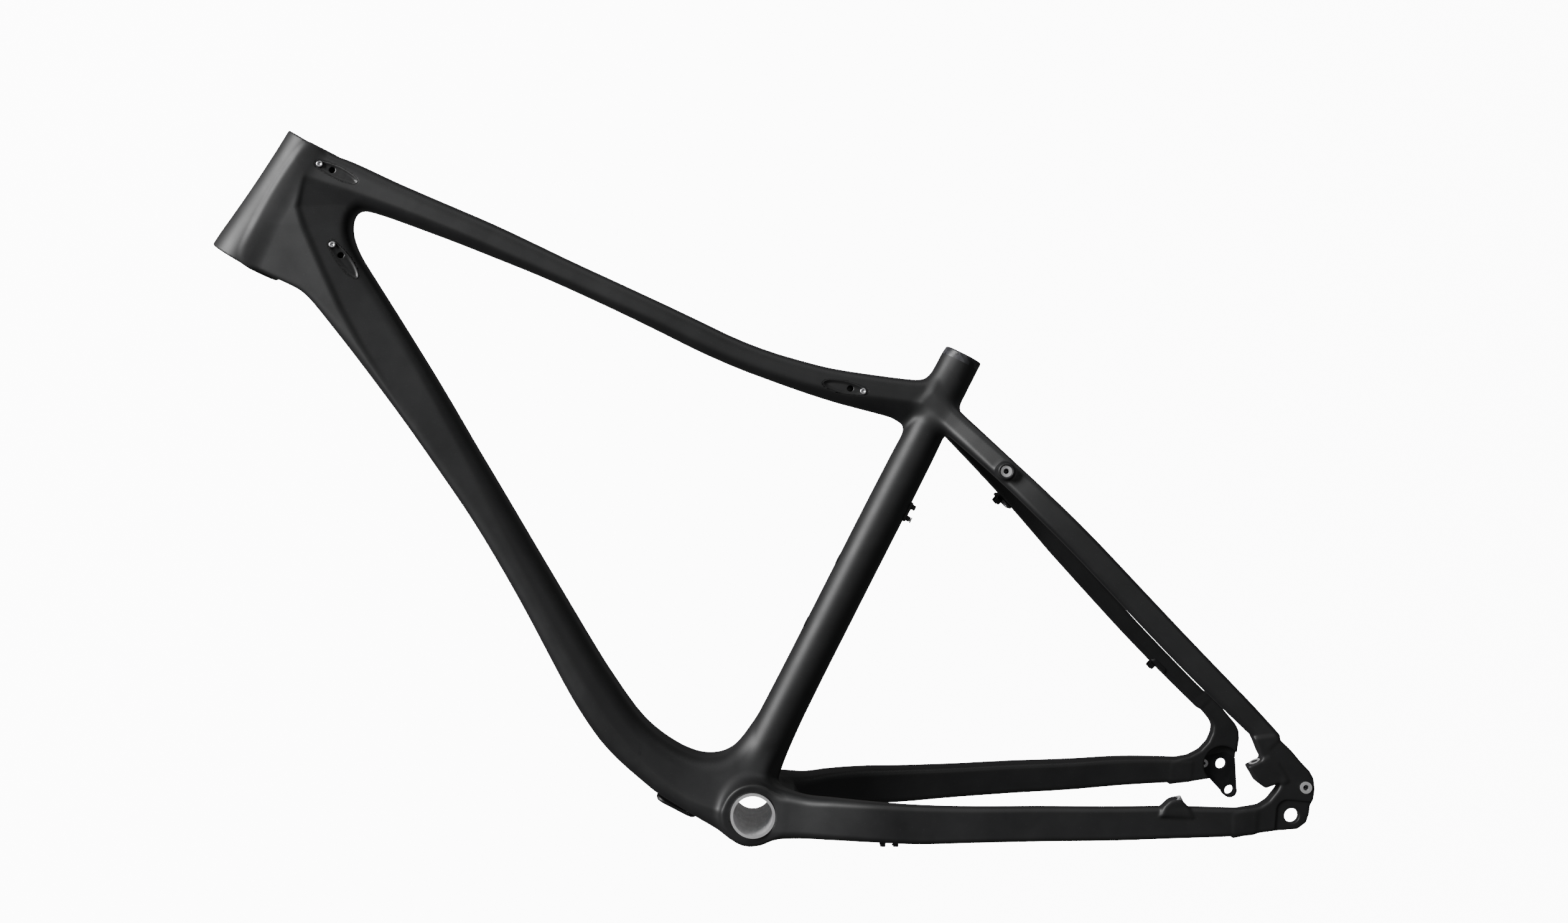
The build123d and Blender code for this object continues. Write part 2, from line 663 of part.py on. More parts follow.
# Bearing seats: a ring with a pocket for the bearing and a ledge below it
for name, plane, ring_radius, inward in (
        ("lower_bearing_seat", head_plane, lower_ring_radius, 1),
        ("upper_bearing_seat", head_top_plane, upper_ring_radius, -1)):
    pocket_radius = ring_radius - seat_ring_wall
    with BuildPart() as bearing_seat:
        with BuildSketch(plane):
            Circle(ring_radius)
        extrude(amount=inward * seat_ring_depth)
        with BuildSketch(plane):
            Circle(pocket_radius)
        extrude(amount=inward * bearing_depth, mode=Mode.SUBTRACT)
        with BuildSketch(plane.offset(inward * bearing_depth)):
            Circle(pocket_radius)
        with BuildSketch(plane.offset(inward * (bearing_depth + bearing_ledge))):
            Circle(pocket_radius - bearing_ledge)
        loft(ruled=True, mode=Mode.SUBTRACT)
        with BuildSketch(plane):
            Circle(pocket_radius - bearing_ledge)
        extrude(amount=inward * seat_ring_depth, mode=Mode.SUBTRACT)
    finish_part(bearing_seat.part, name)

# Seat tube
with BuildPart() as seat_tube:
    add(seat_envelope)
    add(seat_guide_block.part)
    with BuildSketch(seat_plane.offset(seat_tube_reach)):
        Circle(seatpost_bore / 2)
    extrude(amount=-seatpost_depth, mode=Mode.SUBTRACT)
    with BuildSketch(seat_plane.offset(seat_tube_foot)):
        Circle(seat_tube_radius - seat_tube_lower_wall)
    extrude(amount=seat_tube_reach - seatpost_depth - seat_tube_foot, mode=Mode.SUBTRACT)
    with BuildSketch(seat_guide_plane.offset(-seat_guide_boss - seat_tube_radius)) as slot:
        with Locations((seat_tube_reach - seat_guide_height - clamp_slot_length / 2, 0)):
            Rectangle(clamp_slot_length, clamp_slot_width)
        with Locations((seat_tube_reach - seat_guide_height - clamp_slot_length, 0)):
            Circle(clamp_slot_end / 2)
    extrude(amount=2 * seat_tube_radius, mode=Mode.SUBTRACT)
    for place in seat_nut_places:
        add(rod(place, bottle_nut_radius, bottle_flange_proud, bottle_nut_length),
            mode=Mode.SUBTRACT)
    add(shank_hole(seat_guide_plane, guide_screw_slide), mode=Mode.SUBTRACT)
finish_part(seat_tube.part, "seat_tube")

# Bottom bracket junction and its threaded sleeve
with BuildPart() as bottom_bracket_junction:
    add(junction_envelope)
    add(seat_lug_void.part, mode=Mode.SUBTRACT)
    add(down_lug_void, mode=Mode.SUBTRACT)
    add(boss_core)
    add(rod(side_plane(0, 0, shell_width / 2), sleeve_radius, shell_width), mode=Mode.SUBTRACT)
    add(shank_hole(cover_plane, cover_screw_slide), mode=Mode.SUBTRACT)
finish_part(bottom_bracket_junction.part, "bottom_bracket_junction")
with BuildPart() as bottom_bracket_sleeve:
    add(rod(side_plane(0, 0, shell_width / 2), sleeve_radius, shell_width))
    add(rod(side_plane(0, 0, shell_width / 2), shell_bore / 2, shell_width), mode=Mode.SUBTRACT)
finish_part(bottom_bracket_sleeve.part, "bottom_bracket_sleeve")

# Top tube and down tube, each cut to the pieces it meets
with BuildPart() as top_tube:
    add(top_envelope)
    add(top_void, mode=Mode.SUBTRACT)
    add(head_envelope, mode=Mode.SUBTRACT)
    add(seat_envelope, mode=Mode.SUBTRACT)
    for name in ("top_tube_front_port", "top_tube_rear_port"):
        add(port_cuts[name], mode=Mode.SUBTRACT)
        add(mirrored(port_cuts[name]), mode=Mode.SUBTRACT)
finish_part(top_tube.part, "top_tube")
with BuildPart() as down_tube:
    add(down_envelope)
    add(down_void, mode=Mode.SUBTRACT)
    add(head_envelope, mode=Mode.SUBTRACT)
    add(top_envelope, mode=Mode.SUBTRACT)
    add(junction_envelope, mode=Mode.SUBTRACT)
    add(port_cuts["down_tube_port"], mode=Mode.SUBTRACT)
    add(mirrored(port_cuts["down_tube_port"]), mode=Mode.SUBTRACT)
    for place in nut_places:
        add(rod(place, bottle_nut_radius, bottle_flange_proud, bottle_nut_length),
            mode=Mode.SUBTRACT)
    add(shank_hole(cover_plane, cover_screw_slide), mode=Mode.SUBTRACT)
finish_part(down_tube.part, "down_tube")

# Chainstay yoke: two hollow arms and the web between them
with BuildPart() as chainstay_yoke:
    with BuildSketch(Plane(origin=yoke_web_middle, x_dir=(0, 1, 0), z_dir=(1, 0, 0))):
        RectangleRounded(*yoke_web[1:])
    extrude(amount=yoke_web[0] / 2, both=True)
    add(yoke_arm)
    add(mirrored(yoke_arm))
    add(yoke_arm_void, mode=Mode.SUBTRACT)
    add(mirrored(yoke_arm_void), mode=Mode.SUBTRACT)
    add(junction_envelope, mode=Mode.SUBTRACT)
    add(rod(side_plane(0, 0, shell_width / 2), boss_radius, shell_width), mode=Mode.SUBTRACT)
finish_part(chainstay_yoke.part, "chainstay_yoke")

# Seatstay wishbone behind the seat tube
with BuildPart() as seatstay_wishbone:
    with BuildSketch(Plane(origin=(wishbone_root[0], 0, wishbone_root[1] - wishbone_web_drop),
                           x_dir=(0, 1, 0), z_dir=wishbone_web_run)):
        RectangleRounded(*wishbone_web[1:])
    extrude(amount=wishbone_web[0])
    add(wishbone_arm)
    add(mirrored(wishbone_arm))
    add(wishbone_arm_void, mode=Mode.SUBTRACT)
    add(mirrored(wishbone_arm_void), mode=Mode.SUBTRACT)
    add(seat_envelope, mode=Mode.SUBTRACT)
    add(top_envelope, mode=Mode.SUBTRACT)
finish_part(seatstay_wishbone.part, "seatstay_wishbone")

# Rack eyelets on the seatstays, and their bosses
rack_point = upper_points[wishbone_count + 1]
rack_face = rack_point[1] - upper_sections[wishbone_count + 1][0] / 2 - eyelet_boss_proud
rack_plane = side_plane(rack_point[0], rack_point[2], rack_face)
rack_boss = rod(rack_plane, eyelet_boss_radius, 0.0, eyelet_boss_length)
rack_hole = rod(rack_plane, eyelet_radius, 2 * eyelet_boss_proud, eyelet_length - eyelet_proud)
rack_eyelet = threaded_insert(rack_plane.offset(eyelet_proud), eyelet_radius, eyelet_length,
                              eyelet_thread)
low_eyelet_plane = side_plane(axle_back + dropout_eyelet_offset[0],
                              axle_rise + dropout_eyelet_offset[1], -rim_outer)
low_eyelet = threaded_insert(low_eyelet_plane.offset(eyelet_proud), eyelet_radius, eyelet_length,
                             eyelet_thread)

# Left stays
with BuildPart() as chainstay_left:
    add(chainstay_envelope)
    add(chainstay_void, mode=Mode.SUBTRACT)
    add(front_boss)
    add(left_block, mode=Mode.SUBTRACT)
    add(rod(post_planes[0], post_insert_radius, 0.0, post_insert_length), mode=Mode.SUBTRACT)
    add(shank_hole(chainstay_guide_plane, guide_screw_slide), mode=Mode.SUBTRACT)
finish_part(chainstay_left.part, "chainstay_left")
with BuildPart() as chainstay_right:
    add(mirrored(chainstay_envelope))
    add(mirrored(chainstay_void), mode=Mode.SUBTRACT)
    add(right_block, mode=Mode.SUBTRACT)
finish_part(chainstay_right.part, "chainstay_right")
with BuildPart() as seatstay_left:
    add(seatstay_envelope)
    add(seatstay_void, mode=Mode.SUBTRACT)
    add(rack_boss)
    add(left_block, mode=Mode.SUBTRACT)
    add(rack_hole, mode=Mode.SUBTRACT)
finish_part(seatstay_left.part, "seatstay_left")
with BuildPart() as seatstay_right:
    add(mirrored(seatstay_envelope))
    add(mirrored(seatstay_void), mode=Mode.SUBTRACT)
    add(mirrored(rack_boss))
    add(right_block, mode=Mode.SUBTRACT)
    add(mirrored(rack_hole), mode=Mode.SUBTRACT)
    for plane in seatstay_guide_planes:
        add(mirrored(shank_hole(plane, guide_screw_slide)), mode=Mode.SUBTRACT)
finish_part(seatstay_right.part, "seatstay_right")

# Dropouts
with BuildPart() as dropout_left:
    add(left_block)
    with BuildSketch(side_plane(axle_back, axle_rise, -hub_half)):
        Circle(hub_recess / 2)
    extrude(amount=-dropout_rib, mode=Mode.SUBTRACT)
    with BuildSketch(side_plane(axle_back, axle_rise, -rim_outer)):
        with Locations(pocket_offset):
            RectangleRounded(pocket_side, pocket_side, pocket_corner)
    extrude(amount=-dropout_lip, mode=Mode.SUBTRACT)
    add(rod(side_plane(axle_back, axle_rise, -hub_half), axle_hole / 2, dropout_plate),
        mode=Mode.SUBTRACT)
    add(rod(post_planes[1], post_insert_radius, 0.0, post_insert_length), mode=Mode.SUBTRACT)
    add(rod(low_eyelet_plane, eyelet_radius, 0.0, eyelet_length - eyelet_proud),
        mode=Mode.SUBTRACT)
finish_part(dropout_left.part, "dropout_left")
hanger_bolt_plane = side_plane(axle_back + hanger_bolt_offset[0],
                               axle_rise + hanger_bolt_offset[1], hub_half, 1)
with BuildPart() as hanger_bolt:
    with BuildSketch(hanger_bolt_plane):
        Circle(hanger_bolt_head / 2)
    extrude(amount=hanger_bolt_head_depth)
    with BuildSketch(hanger_bolt_plane):
        Circle(hanger_bolt_shank / 2)
    extrude(amount=hanger_bolt_length)
    with BuildSketch(hanger_bolt_plane):
        RegularPolygon(hanger_bolt_socket[0], 6)
    extrude(amount=hanger_bolt_socket[1], mode=Mode.SUBTRACT)
finish_part(hanger_bolt.part, "hanger_bolt")
with BuildPart() as derailleur_hanger:
    add(hanger_envelope)
    add(rod(side_plane(axle_back, axle_rise, hub_half, 1), hanger_axle_core / 2,
            hanger_thickness), mode=Mode.SUBTRACT)
    add(rod(side_plane(axle_back + derailleur_offset[0], axle_rise + derailleur_offset[1],
                       hub_half, 1), derailleur_thread / 2, hanger_arm_thickness),
        mode=Mode.SUBTRACT)
    add(rod(hanger_bolt_plane, hanger_bolt_head / 2, hanger_bolt_head_depth), mode=Mode.SUBTRACT)
    add(rod(hanger_bolt_plane, hanger_bolt_shank / 2, hanger_thickness), mode=Mode.SUBTRACT)
finish_part(derailleur_hanger.part, "derailleur_hanger")
with BuildPart() as dropout_right:
    add(right_block)
    with BuildSketch(side_plane(axle_back, axle_rise, hub_half, 1)):
        Circle(hub_recess / 2)
    extrude(amount=-dropout_rib, mode=Mode.SUBTRACT)
    add(hanger_room, mode=Mode.SUBTRACT)
    add(hanger_envelope, mode=Mode.SUBTRACT)
    add(rod(side_plane(axle_back, axle_rise, hub_half, 1), axle_hole / 2, dropout_width),
        mode=Mode.SUBTRACT)
    add(rod(hanger_bolt_plane, hanger_bolt_shank / 2, hanger_bolt_length), mode=Mode.SUBTRACT)
    add(mirrored(rod(low_eyelet_plane, eyelet_radius, 0.0, eyelet_length - eyelet_proud)),
        mode=Mode.SUBTRACT)
finish_part(dropout_right.part, "dropout_right")

# Inserts
for name, plane in (("front_brake_insert", post_planes[0]), ("rear_brake_insert", post_planes[1])):
    insert = threaded_insert(plane, post_insert_radius, post_insert_length, post_thread)
    finish_part(insert, name)
finish_part(rack_eyelet, "rack_eyelet_left")
finish_part(mirrored(rack_eyelet), "rack_eyelet_right")
finish_part(low_eyelet, "dropout_eyelet_left")
finish_part(mirrored(low_eyelet), "dropout_eyelet_right")

# Bottle nuts, a pair on each tube
with BuildPart() as down_tube_bottle_nuts:
    for place in nut_places:
        add(bottle_nut(place, down_envelope))
finish_part(down_tube_bottle_nuts.part, "down_tube_bottle_nuts")
with BuildPart() as seat_tube_bottle_nuts:
    for place in seat_nut_places:
        add(bottle_nut(place, seat_envelope))
finish_part(seat_tube_bottle_nuts.part, "seat_tube_bottle_nuts")

# Port plates on both sides
for name, place in ports.items():
    plate = port_plate(*place)
    finish_part(plate, name + "_left")
    finish_part(mirrored(plate), name + "_right")

# Cable guides, and the cover where the housings leave the down tube
chainstay_guide = cable_guide(chainstay_guide_plane, chainstay_envelope)
seat_guide = cable_guide(seat_guide_plane, seat_guide_block.part)
stay_guides = [cable_guide(plane, seatstay_envelope) for plane in seatstay_guide_planes]
with BuildPart() as chainstay_cable_guide:
    add(chainstay_guide)
    add(guide_screw(chainstay_guide_plane), mode=Mode.SUBTRACT)
finish_part(chainstay_cable_guide.part, "chainstay_cable_guide")
with BuildPart() as seat_tube_cable_guide:
    add(seat_guide)
    add(guide_screw(seat_guide_plane), mode=Mode.SUBTRACT)
finish_part(seat_tube_cable_guide.part, "seat_tube_cable_guide")
with BuildPart() as seatstay_cable_guides:
    for plane, guide in zip(seatstay_guide_planes, stay_guides):
        add(mirrored(guide))
        add(mirrored(guide_screw(plane)), mode=Mode.SUBTRACT)
finish_part(seatstay_cable_guides.part, "seatstay_cable_guides")
with BuildPart() as cable_exit_cover:
    with BuildSketch(cover_plane.offset(-cover_sunk)):
        RectangleRounded(cover_length, cover_width, cover_corner)
    extrude(amount=cover_sunk + cover_proud)
    cover_top = faces().sort_by(Axis(cover_plane.origin, cover_plane.z_dir))[-1]
    chamfer(cover_top.edges(), cover_chamfer)
    add(down_envelope, mode=Mode.SUBTRACT)
    add(junction_envelope, mode=Mode.SUBTRACT)
    add(screw(slid(cover_plane, cover_screw_slide, cover_proud), port_screw_head_height),
        mode=Mode.SUBTRACT)
finish_part(cable_exit_cover.part, "cable_exit_cover")

# Screws of the ports, guides and cover, all alike
with BuildPart() as port_screw_set:
    for piece in port_screws.values():
        add(piece)
        add(mirrored(piece))
finish_part(port_screw_set.part, "port_screws")
with BuildPart() as guide_screw_set:
    add(guide_screw(chainstay_guide_plane))
    add(guide_screw(seat_guide_plane))
    for plane in seatstay_guide_planes:
        add(mirrored(guide_screw(plane)))
    add(screw(slid(cover_plane, cover_screw_slide, cover_proud), port_screw_head_height))
finish_part(guide_screw_set.part, "guide_screws")
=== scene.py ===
import bpy
import json
import math
import numpy as np
from mathutils import Matrix, Vector


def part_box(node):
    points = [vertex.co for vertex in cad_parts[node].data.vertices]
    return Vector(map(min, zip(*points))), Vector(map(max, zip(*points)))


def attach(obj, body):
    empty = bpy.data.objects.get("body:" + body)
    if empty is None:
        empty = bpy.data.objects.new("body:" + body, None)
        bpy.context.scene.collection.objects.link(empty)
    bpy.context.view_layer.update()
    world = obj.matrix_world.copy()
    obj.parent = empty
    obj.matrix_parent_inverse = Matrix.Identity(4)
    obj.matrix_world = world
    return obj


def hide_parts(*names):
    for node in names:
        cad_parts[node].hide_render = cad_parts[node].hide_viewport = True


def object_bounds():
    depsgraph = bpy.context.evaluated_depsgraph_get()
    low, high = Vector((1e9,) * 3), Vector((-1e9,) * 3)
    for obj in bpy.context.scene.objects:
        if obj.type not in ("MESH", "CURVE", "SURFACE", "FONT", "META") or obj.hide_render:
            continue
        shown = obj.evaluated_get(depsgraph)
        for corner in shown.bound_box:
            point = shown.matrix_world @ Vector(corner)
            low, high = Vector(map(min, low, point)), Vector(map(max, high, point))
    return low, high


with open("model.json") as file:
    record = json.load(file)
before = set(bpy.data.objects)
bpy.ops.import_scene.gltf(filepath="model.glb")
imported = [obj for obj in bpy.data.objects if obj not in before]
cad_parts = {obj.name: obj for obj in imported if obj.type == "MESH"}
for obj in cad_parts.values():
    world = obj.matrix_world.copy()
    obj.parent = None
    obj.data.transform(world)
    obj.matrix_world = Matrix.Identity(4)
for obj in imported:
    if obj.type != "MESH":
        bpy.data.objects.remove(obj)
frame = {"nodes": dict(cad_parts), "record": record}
cadLow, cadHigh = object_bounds()
record = frame["record"]
mm = 0.001
mounts = {m["name"]: m for m in record["mounts"]}


def mountPoint(name):
    # A mount's place in millimetres
    return np.array(mounts[name]["pos_m"]) * 1000.0


def mountAxis(name):
    return np.array(mounts[name]["axis"])


# Camera, level across the frame, turned a little about its own line of sight
cameraSettings = {"place": (-31.4, -1445.0, 347.6), "roll": 5.17, "lens": 36.43,
                  "shift": (50.0 / 2520.0, -68.0 / 2520.0)}
cameraData = bpy.data.cameras.new("camera")
camera = bpy.data.objects.new("camera", cameraData)
bpy.context.scene.collection.objects.link(camera)
roll = math.radians(cameraSettings["roll"])
camera.matrix_world = Matrix((
    (math.cos(roll), -math.sin(roll), 0.0, cameraSettings["place"][0] * mm),
    (0.0, 0.0, -1.0, cameraSettings["place"][1] * mm),
    (math.sin(roll), math.cos(roll), 0.0, cameraSettings["place"][2] * mm),
    (0.0, 0.0, 0.0, 1.0)))
cameraData.sensor_width = 36.0
cameraData.lens = cameraSettings["lens"]
cameraData.shift_x, cameraData.shift_y = cameraSettings["shift"]
cameraData.clip_start = 0.01
cameraData.clip_end = 20.0
bpy.context.scene.camera = camera


# The mouldings flow into each other with soft joins, so their shapes are worked out as solid fields:
# functions of place in millimetres, below nought inside, joined by softMin and cut by softMax
def softMax(a, b, width):
    # Larger of two fields, its corner rounded over the width
    gap = np.maximum(width - np.abs(a - b), 0.0) / width
    return np.maximum(a, b) + gap * gap * width * 0.25


def softMin(a, b, width):
    return -softMax(-a, -b, width)


def spread(value, x, y, z):
    # The value over the whole block of points
    return np.broadcast_to(value, np.broadcast_shapes(x.shape, y.shape, z.shape))


def smoothCurve(x, knots, values):
    # Cubic through the knots, its slope at each the mean of the slopes on both sides
    knots = np.asarray(knots, float)
    values = np.asarray(values, float)
    steps = np.diff(knots)
    slopes = np.diff(values) / steps
    tangents = np.empty_like(values)
    tangents[0], tangents[-1] = slopes[0], slopes[-1]
    tangents[1:-1] = (slopes[:-1] * steps[1:] + slopes[1:] * steps[:-1]) / (steps[:-1] + steps[1:])
    x = np.clip(x, knots[0], knots[-1])
    i = np.clip(np.searchsorted(knots, x, side="right") - 1, 0, len(steps) - 1)
    t = (x - knots[i]) / steps[i]
    h = steps[i]
    return (values[i] * (1 + 2 * t) * (1 - t) ** 2 + tangents[i] * h * t * (1 - t) ** 2
            + values[i + 1] * t * t * (3 - 2 * t) + tangents[i + 1] * h * t * t * (t - 1))


def roundedLoop(points):
    # Closed line through the points, each corner eased by cutting it twice
    loop = np.asarray(points, float)
    for _ in range(2):
        ahead = np.roll(loop, -1, axis=0)
        loop = np.stack([loop * 0.75 + ahead * 0.25, loop * 0.25 + ahead * 0.75], 1).reshape(-1, 2)
    return loop


def loopDistance(loop, x, z):
    # Distance to a closed line in the side view, negative inside it
    x, z = np.broadcast_arrays(x, z)
    shape = x.shape
    x, z = x.ravel(), z.ravel()
    nearest = np.full(x.shape, 1e12)
    inside = np.zeros(x.shape, bool)
    for (ax, az), (bx, bz) in zip(loop, np.roll(loop, -1, axis=0)):
        ex, ez = bx - ax, bz - az
        length = ex * ex + ez * ez
        if length < 1e-9:
            continue
        t = np.clip(((x - ax) * ex + (z - az) * ez) / length, 0.0, 1.0)
        nearest = np.minimum(nearest, (x - ax - t * ex) ** 2 + (z - az - t * ez) ** 2)
        if abs(ez) > 1e-9:
            crossing = ((az > z) != (bz > z)) & (x < ax + (z - az) * ex / ez)
            inside ^= crossing
    return (np.sqrt(nearest) * np.where(inside, -1.0, 1.0)).reshape(shape)


class SideMap:
    # Values over the side view on an even grid, read between its points
    def __init__(self, make, low, high, pitch=1.0, blur=3):
        self.low = np.array(low, float)
        self.pitch = pitch
        nx, nz = (np.ceil((np.array(high) - self.low) / pitch).astype(int) + 1)
        x = self.low[0] + np.arange(nx) * pitch
        z = self.low[1] + np.arange(nz) * pitch
        grid = make(x[:, None], z[None, :])
        grid = np.array(np.broadcast_to(grid, (nx, nz)), float)
        for _ in range(blur):
            grid = self.eased(self.eased(grid).T).T
        self.grid = grid

    @staticmethod
    def eased(grid):
        out = grid.copy()
        out[1:-1] = (grid[:-2] + 2 * grid[1:-1] + grid[2:]) / 4
        return out

    def __call__(self, x, z):
        a = np.clip((x - self.low[0]) / self.pitch, 0, self.grid.shape[0] - 1.001)
        b = np.clip((z - self.low[1]) / self.pitch, 0, self.grid.shape[1] - 1.001)
        a, b = np.broadcast_arrays(a, b)
        i, j = a.astype(int), b.astype(int)
        u, v = a - i, b - j
        g = self.grid
        return ((g[i, j] * (1 - u) + g[i + 1, j] * u) * (1 - v)
                + (g[i, j + 1] * (1 - u) + g[i + 1, j + 1] * u) * v)


def lineAbove(knots, x, z):
    # Height above a line given by its points in the side view, square to its own slope
    kx, kz = np.array(knots, float).T
    order = np.argsort(kx)
    kx, kz = kx[order], kz[order]
    slope = (smoothCurve(x + 4.0, kx, kz) - smoothCurve(x - 4.0, kx, kz)) / 8.0
    return (z - smoothCurve(x, kx, kz)) / np.sqrt(1 + slope * slope)


def rodField(point, axis, radius, x, y, z, low=None, high=None, edge=2.0):
    # Round bar or hole along an axis; its ends where given
    axis = np.asarray(axis, float)
    dx, dy, dz = x - point[0], y - point[1], z - point[2]
    along = dx * axis[0] + dy * axis[1] + dz * axis[2]
    off = np.sqrt(np.maximum(dx * dx + dy * dy + dz * dz - along * along, 0.0))
    field = off - radius
    if low is not None:
        field = softMax(field, low - along, edge)
    if high is not None:
        field = softMax(field, along - high, edge)
    return field


def barField(across, up, halfWidth, halfDepth, corner):
    # Rounded oblong section
    a = np.abs(across) - (halfWidth - corner)
    b = np.abs(up) - (halfDepth - corner)
    outside = np.sqrt(np.maximum(a, 0.0) ** 2 + np.maximum(b, 0.0) ** 2)
    return outside + np.minimum(np.maximum(a, b), 0.0) - corner


# Shape of the front half: side outline of both tubes and the shell
print("front half")
headAxis = mountAxis("upper_headset")
headFoot = mountPoint("lower_headset") + mountAxis("lower_headset") * 3.75
headCrown = mountPoint("upper_headset") + headAxis * 3.75
headLength = float(np.linalg.norm(headCrown - headFoot))
seatAxis = mountAxis("seatpost")
seatTop = mountPoint("seatpost") + seatAxis * mounts["seatpost"]["dims"]["length_mm"] / 2
seatWall = 1.65
seatRadius = mounts["seatpost"]["dims"]["r_mm"] + seatWall
outerLine = [
    (-452, 558), (-440, 553), (-428, 548.5), (-415, 545), (-400, 539.5), (-373, 529.5), (-344, 520),
    (-313, 510), (-282, 500), (-245, 486.5), (-208, 473), (-155, 455), (-102, 436), (-39, 412),
    (24, 399.5), (50, 397.3), (75, 396.3), (100, 396), (116, 396.5), (124, 399.5), (129, 404.5),
    (133, 412), (139, 427), (152, 424), (145, 400), (128, 345), (96, 276), (50, 161), (15, 60),
    (10, 0), (0, -26), (-18, -25), (-30, -21.5), (-50, -14.5), (-70, -6), (-90, 3), (-100, 9.5),
    (-125, 27), (-140, 40), (-150, 50.5), (-165, 69), (-180, 90), (-200, 121.5), (-225, 161),
    (-250, 197.5), (-275, 232), (-300, 263), (-331, 300), (-357, 330), (-400, 377.5), (-428, 408),
    (-437, 417), (-445, 423.5), (-454, 427.5), (-478, 436), (-500, 446.4), (-490, 480), (-474, 520)]
windowLine = [
    (-400, 505), (-405, 503.5), (-409, 499), (-411, 492), (-410, 482), (-406, 472), (-400, 462),
    (-390, 449), (-350, 397), (-310, 343), (-280, 300), (-250, 258.7), (-200, 188.7), (-150, 118.7),
    (-134, 99), (-121, 83), (-109, 70), (-100, 62), (-90, 55), (-80, 49.3), (-70, 44.5), (-60, 41),
    (-50, 39.2), (-40, 39.8), (-30, 43), (-20, 51), (-10, 64), (0, 83), (10, 108), (30, 156),
    (50, 207.5), (70, 257), (87, 300), (98, 327), (103, 340), (104, 347), (102, 352.5), (97, 357.5),
    (90, 360.5), (60, 366), (40, 369.5), (3, 378), (-67, 397), (-138, 425), (-187, 443),
    (-236, 460), (-280, 473), (-310, 482), (-350, 493), (-380, 501)]
# Wide tubes look fuller than their middle plane, so the outline is drawn in below and out above
drawnIn = {"x": [-500, -469, -430, -398, -292, -235, -186, -120, -80, -50, -30, -18, 0],
           "under": [1.0, 2.5, 1.5, 1.6, 1.9, 2.6, 4.0, 5.2, 5.5, 4.5, 3.0, 1.0, 0.0],
           "overX": [-452, -430, -400, -250, -150, -60, 40, 90, 110],
           "over": [0.0, 1.6, 2.6, 2.6, 1.4, 1.4, 1.6, 1.0, 0.0],
           "underTop": 446.0, "underEnd": 5.0, "underLine": (-331.0, 360.0, -0.9),
           "overFoot": 390.0, "overEnds": (-453.0, 112.0)}


def drawnOutline(line):
    line = np.array(line, float)
    run = np.roll(line, -1, axis=0) - np.roll(line, 1, axis=0)
    out = np.stack([-run[:, 1], run[:, 0]], 1) / np.hypot(*run.T)[:, None]
    x, z = line.T
    lineX, lineZ, lineSlope = drawnIn["underLine"]
    under = (z < drawnIn["underTop"]) & (x < drawnIn["underEnd"])
    under &= z < lineZ + lineSlope * (x - lineX)
    over = (z > drawnIn["overFoot"]) & ~under
    over &= (x > drawnIn["overEnds"][0]) & (x < drawnIn["overEnds"][1])
    line[under] -= out[under] * np.interp(x[under], drawnIn["x"], drawnIn["under"])[:, None]
    line[over] += out[over] * np.interp(x[over], drawnIn["overX"], drawnIn["over"])[:, None]
    return line


outerLoop = roundedLoop(drawnOutline(outerLine))
windowLoop = roundedLoop(windowLine)


def frontOutline(x, z):
    return np.maximum(loopDistance(outerLoop, x, z), -loopDistance(windowLoop, x, z))


topRidge = [(-520, 548), (-480, 538), (-460, 531), (-440, 526.5), (-400, 517.5), (-350, 504), (-300, 488.5),
            (-240, 467), (-180, 446), (-120, 425), (-60, 402), (0, 386), (60, 378), (110, 376), (200, 376)]
# Inner face of the down tube, bounded by its first ridge; the second ridge bounds its upper face
innerFace = [(-453, 540), (-456, 500), (-447, 480), (-429, 447), (-410, 414), (-390, 384), (-368, 355),
             (-348, 329), (-320, 292), (-290, 249), (-260, 203), (-230, 157), (-200, 112), (-165, 60),
             (-100, -20), (-60, -90), (400, -90), (400, 700), (-453, 700)]
faceRidge = [(-520, 640), (-440, 535), (-412, 492), (-390, 452), (-366, 413), (-350, 386), (-328, 352),
             (-312, 327), (-280, 279), (-250, 232), (-230, 201), (-200, 156), (-165, 105), (-140, 72),
             (-120, 50), (-100, 33), (-80, 19), (-60, 9), (-40, 3), (0, 0), (60, 0), (200, 0)]
frontWidths = {
    "down": ([-520, -480, -450, -410, -370, -320, -270, -220, -170, -130, -95, -60, -30, 0, 80],
             [29.0, 28.4, 27.6, 27.4, 27.4, 27.8, 28.5, 29.5, 31.0, 33.0, 36.0, 40.0, 43.5, 46.0, 46.0]),
    "top": ([-520, -470, -450, -425, -400, -340, -260, -160, -60, 20, 80, 120, 200],
            [29.0, 26.6, 25.0, 23.2, 22.0, 20.6, 19.6, 18.8, 18.0, 17.3, 16.5, 15.5, 15.0]),
    "panelStep": 2.0,
    "flankLean": ([-520, -450, -400, -340, -250, -150, -60], [0.0, 0.0, 0.05, 0.12, 0.22, 0.30, 0.30]),
    "innerLean": ([-520, -440, -380, -300, -220, -160, -100], [0.30, 0.30, 0.29, 0.24, 0.12, 0.0, 0.0]),
    "upperLean": ([-520, -420, -360, -250, -150, -60, 0], [0.30, 0.35, 0.45, 0.52, 0.50, 0.55, 0.6]),
    "topUpperLean": 0.10, "topLowerLean": 0.62,
    "panelRise": 4.0, "panelFade": (-330.0, 80.0), "ridge": 1.5, "innerRidge": 1.2, "topRidge": 1.4,
    "join": 2.5}
headShape = {"along": [-10, 0, 10, 30, 60, 90, headLength, headLength + 10],
             "radius": [31.6, 31.6, 31.2, 29.6, 27.4, 25.9, 25.0, 25.0],
             "levelFrom": 6.0, "levelOver": 44.0, "levelIn": 0.1, "edge": 1.6}
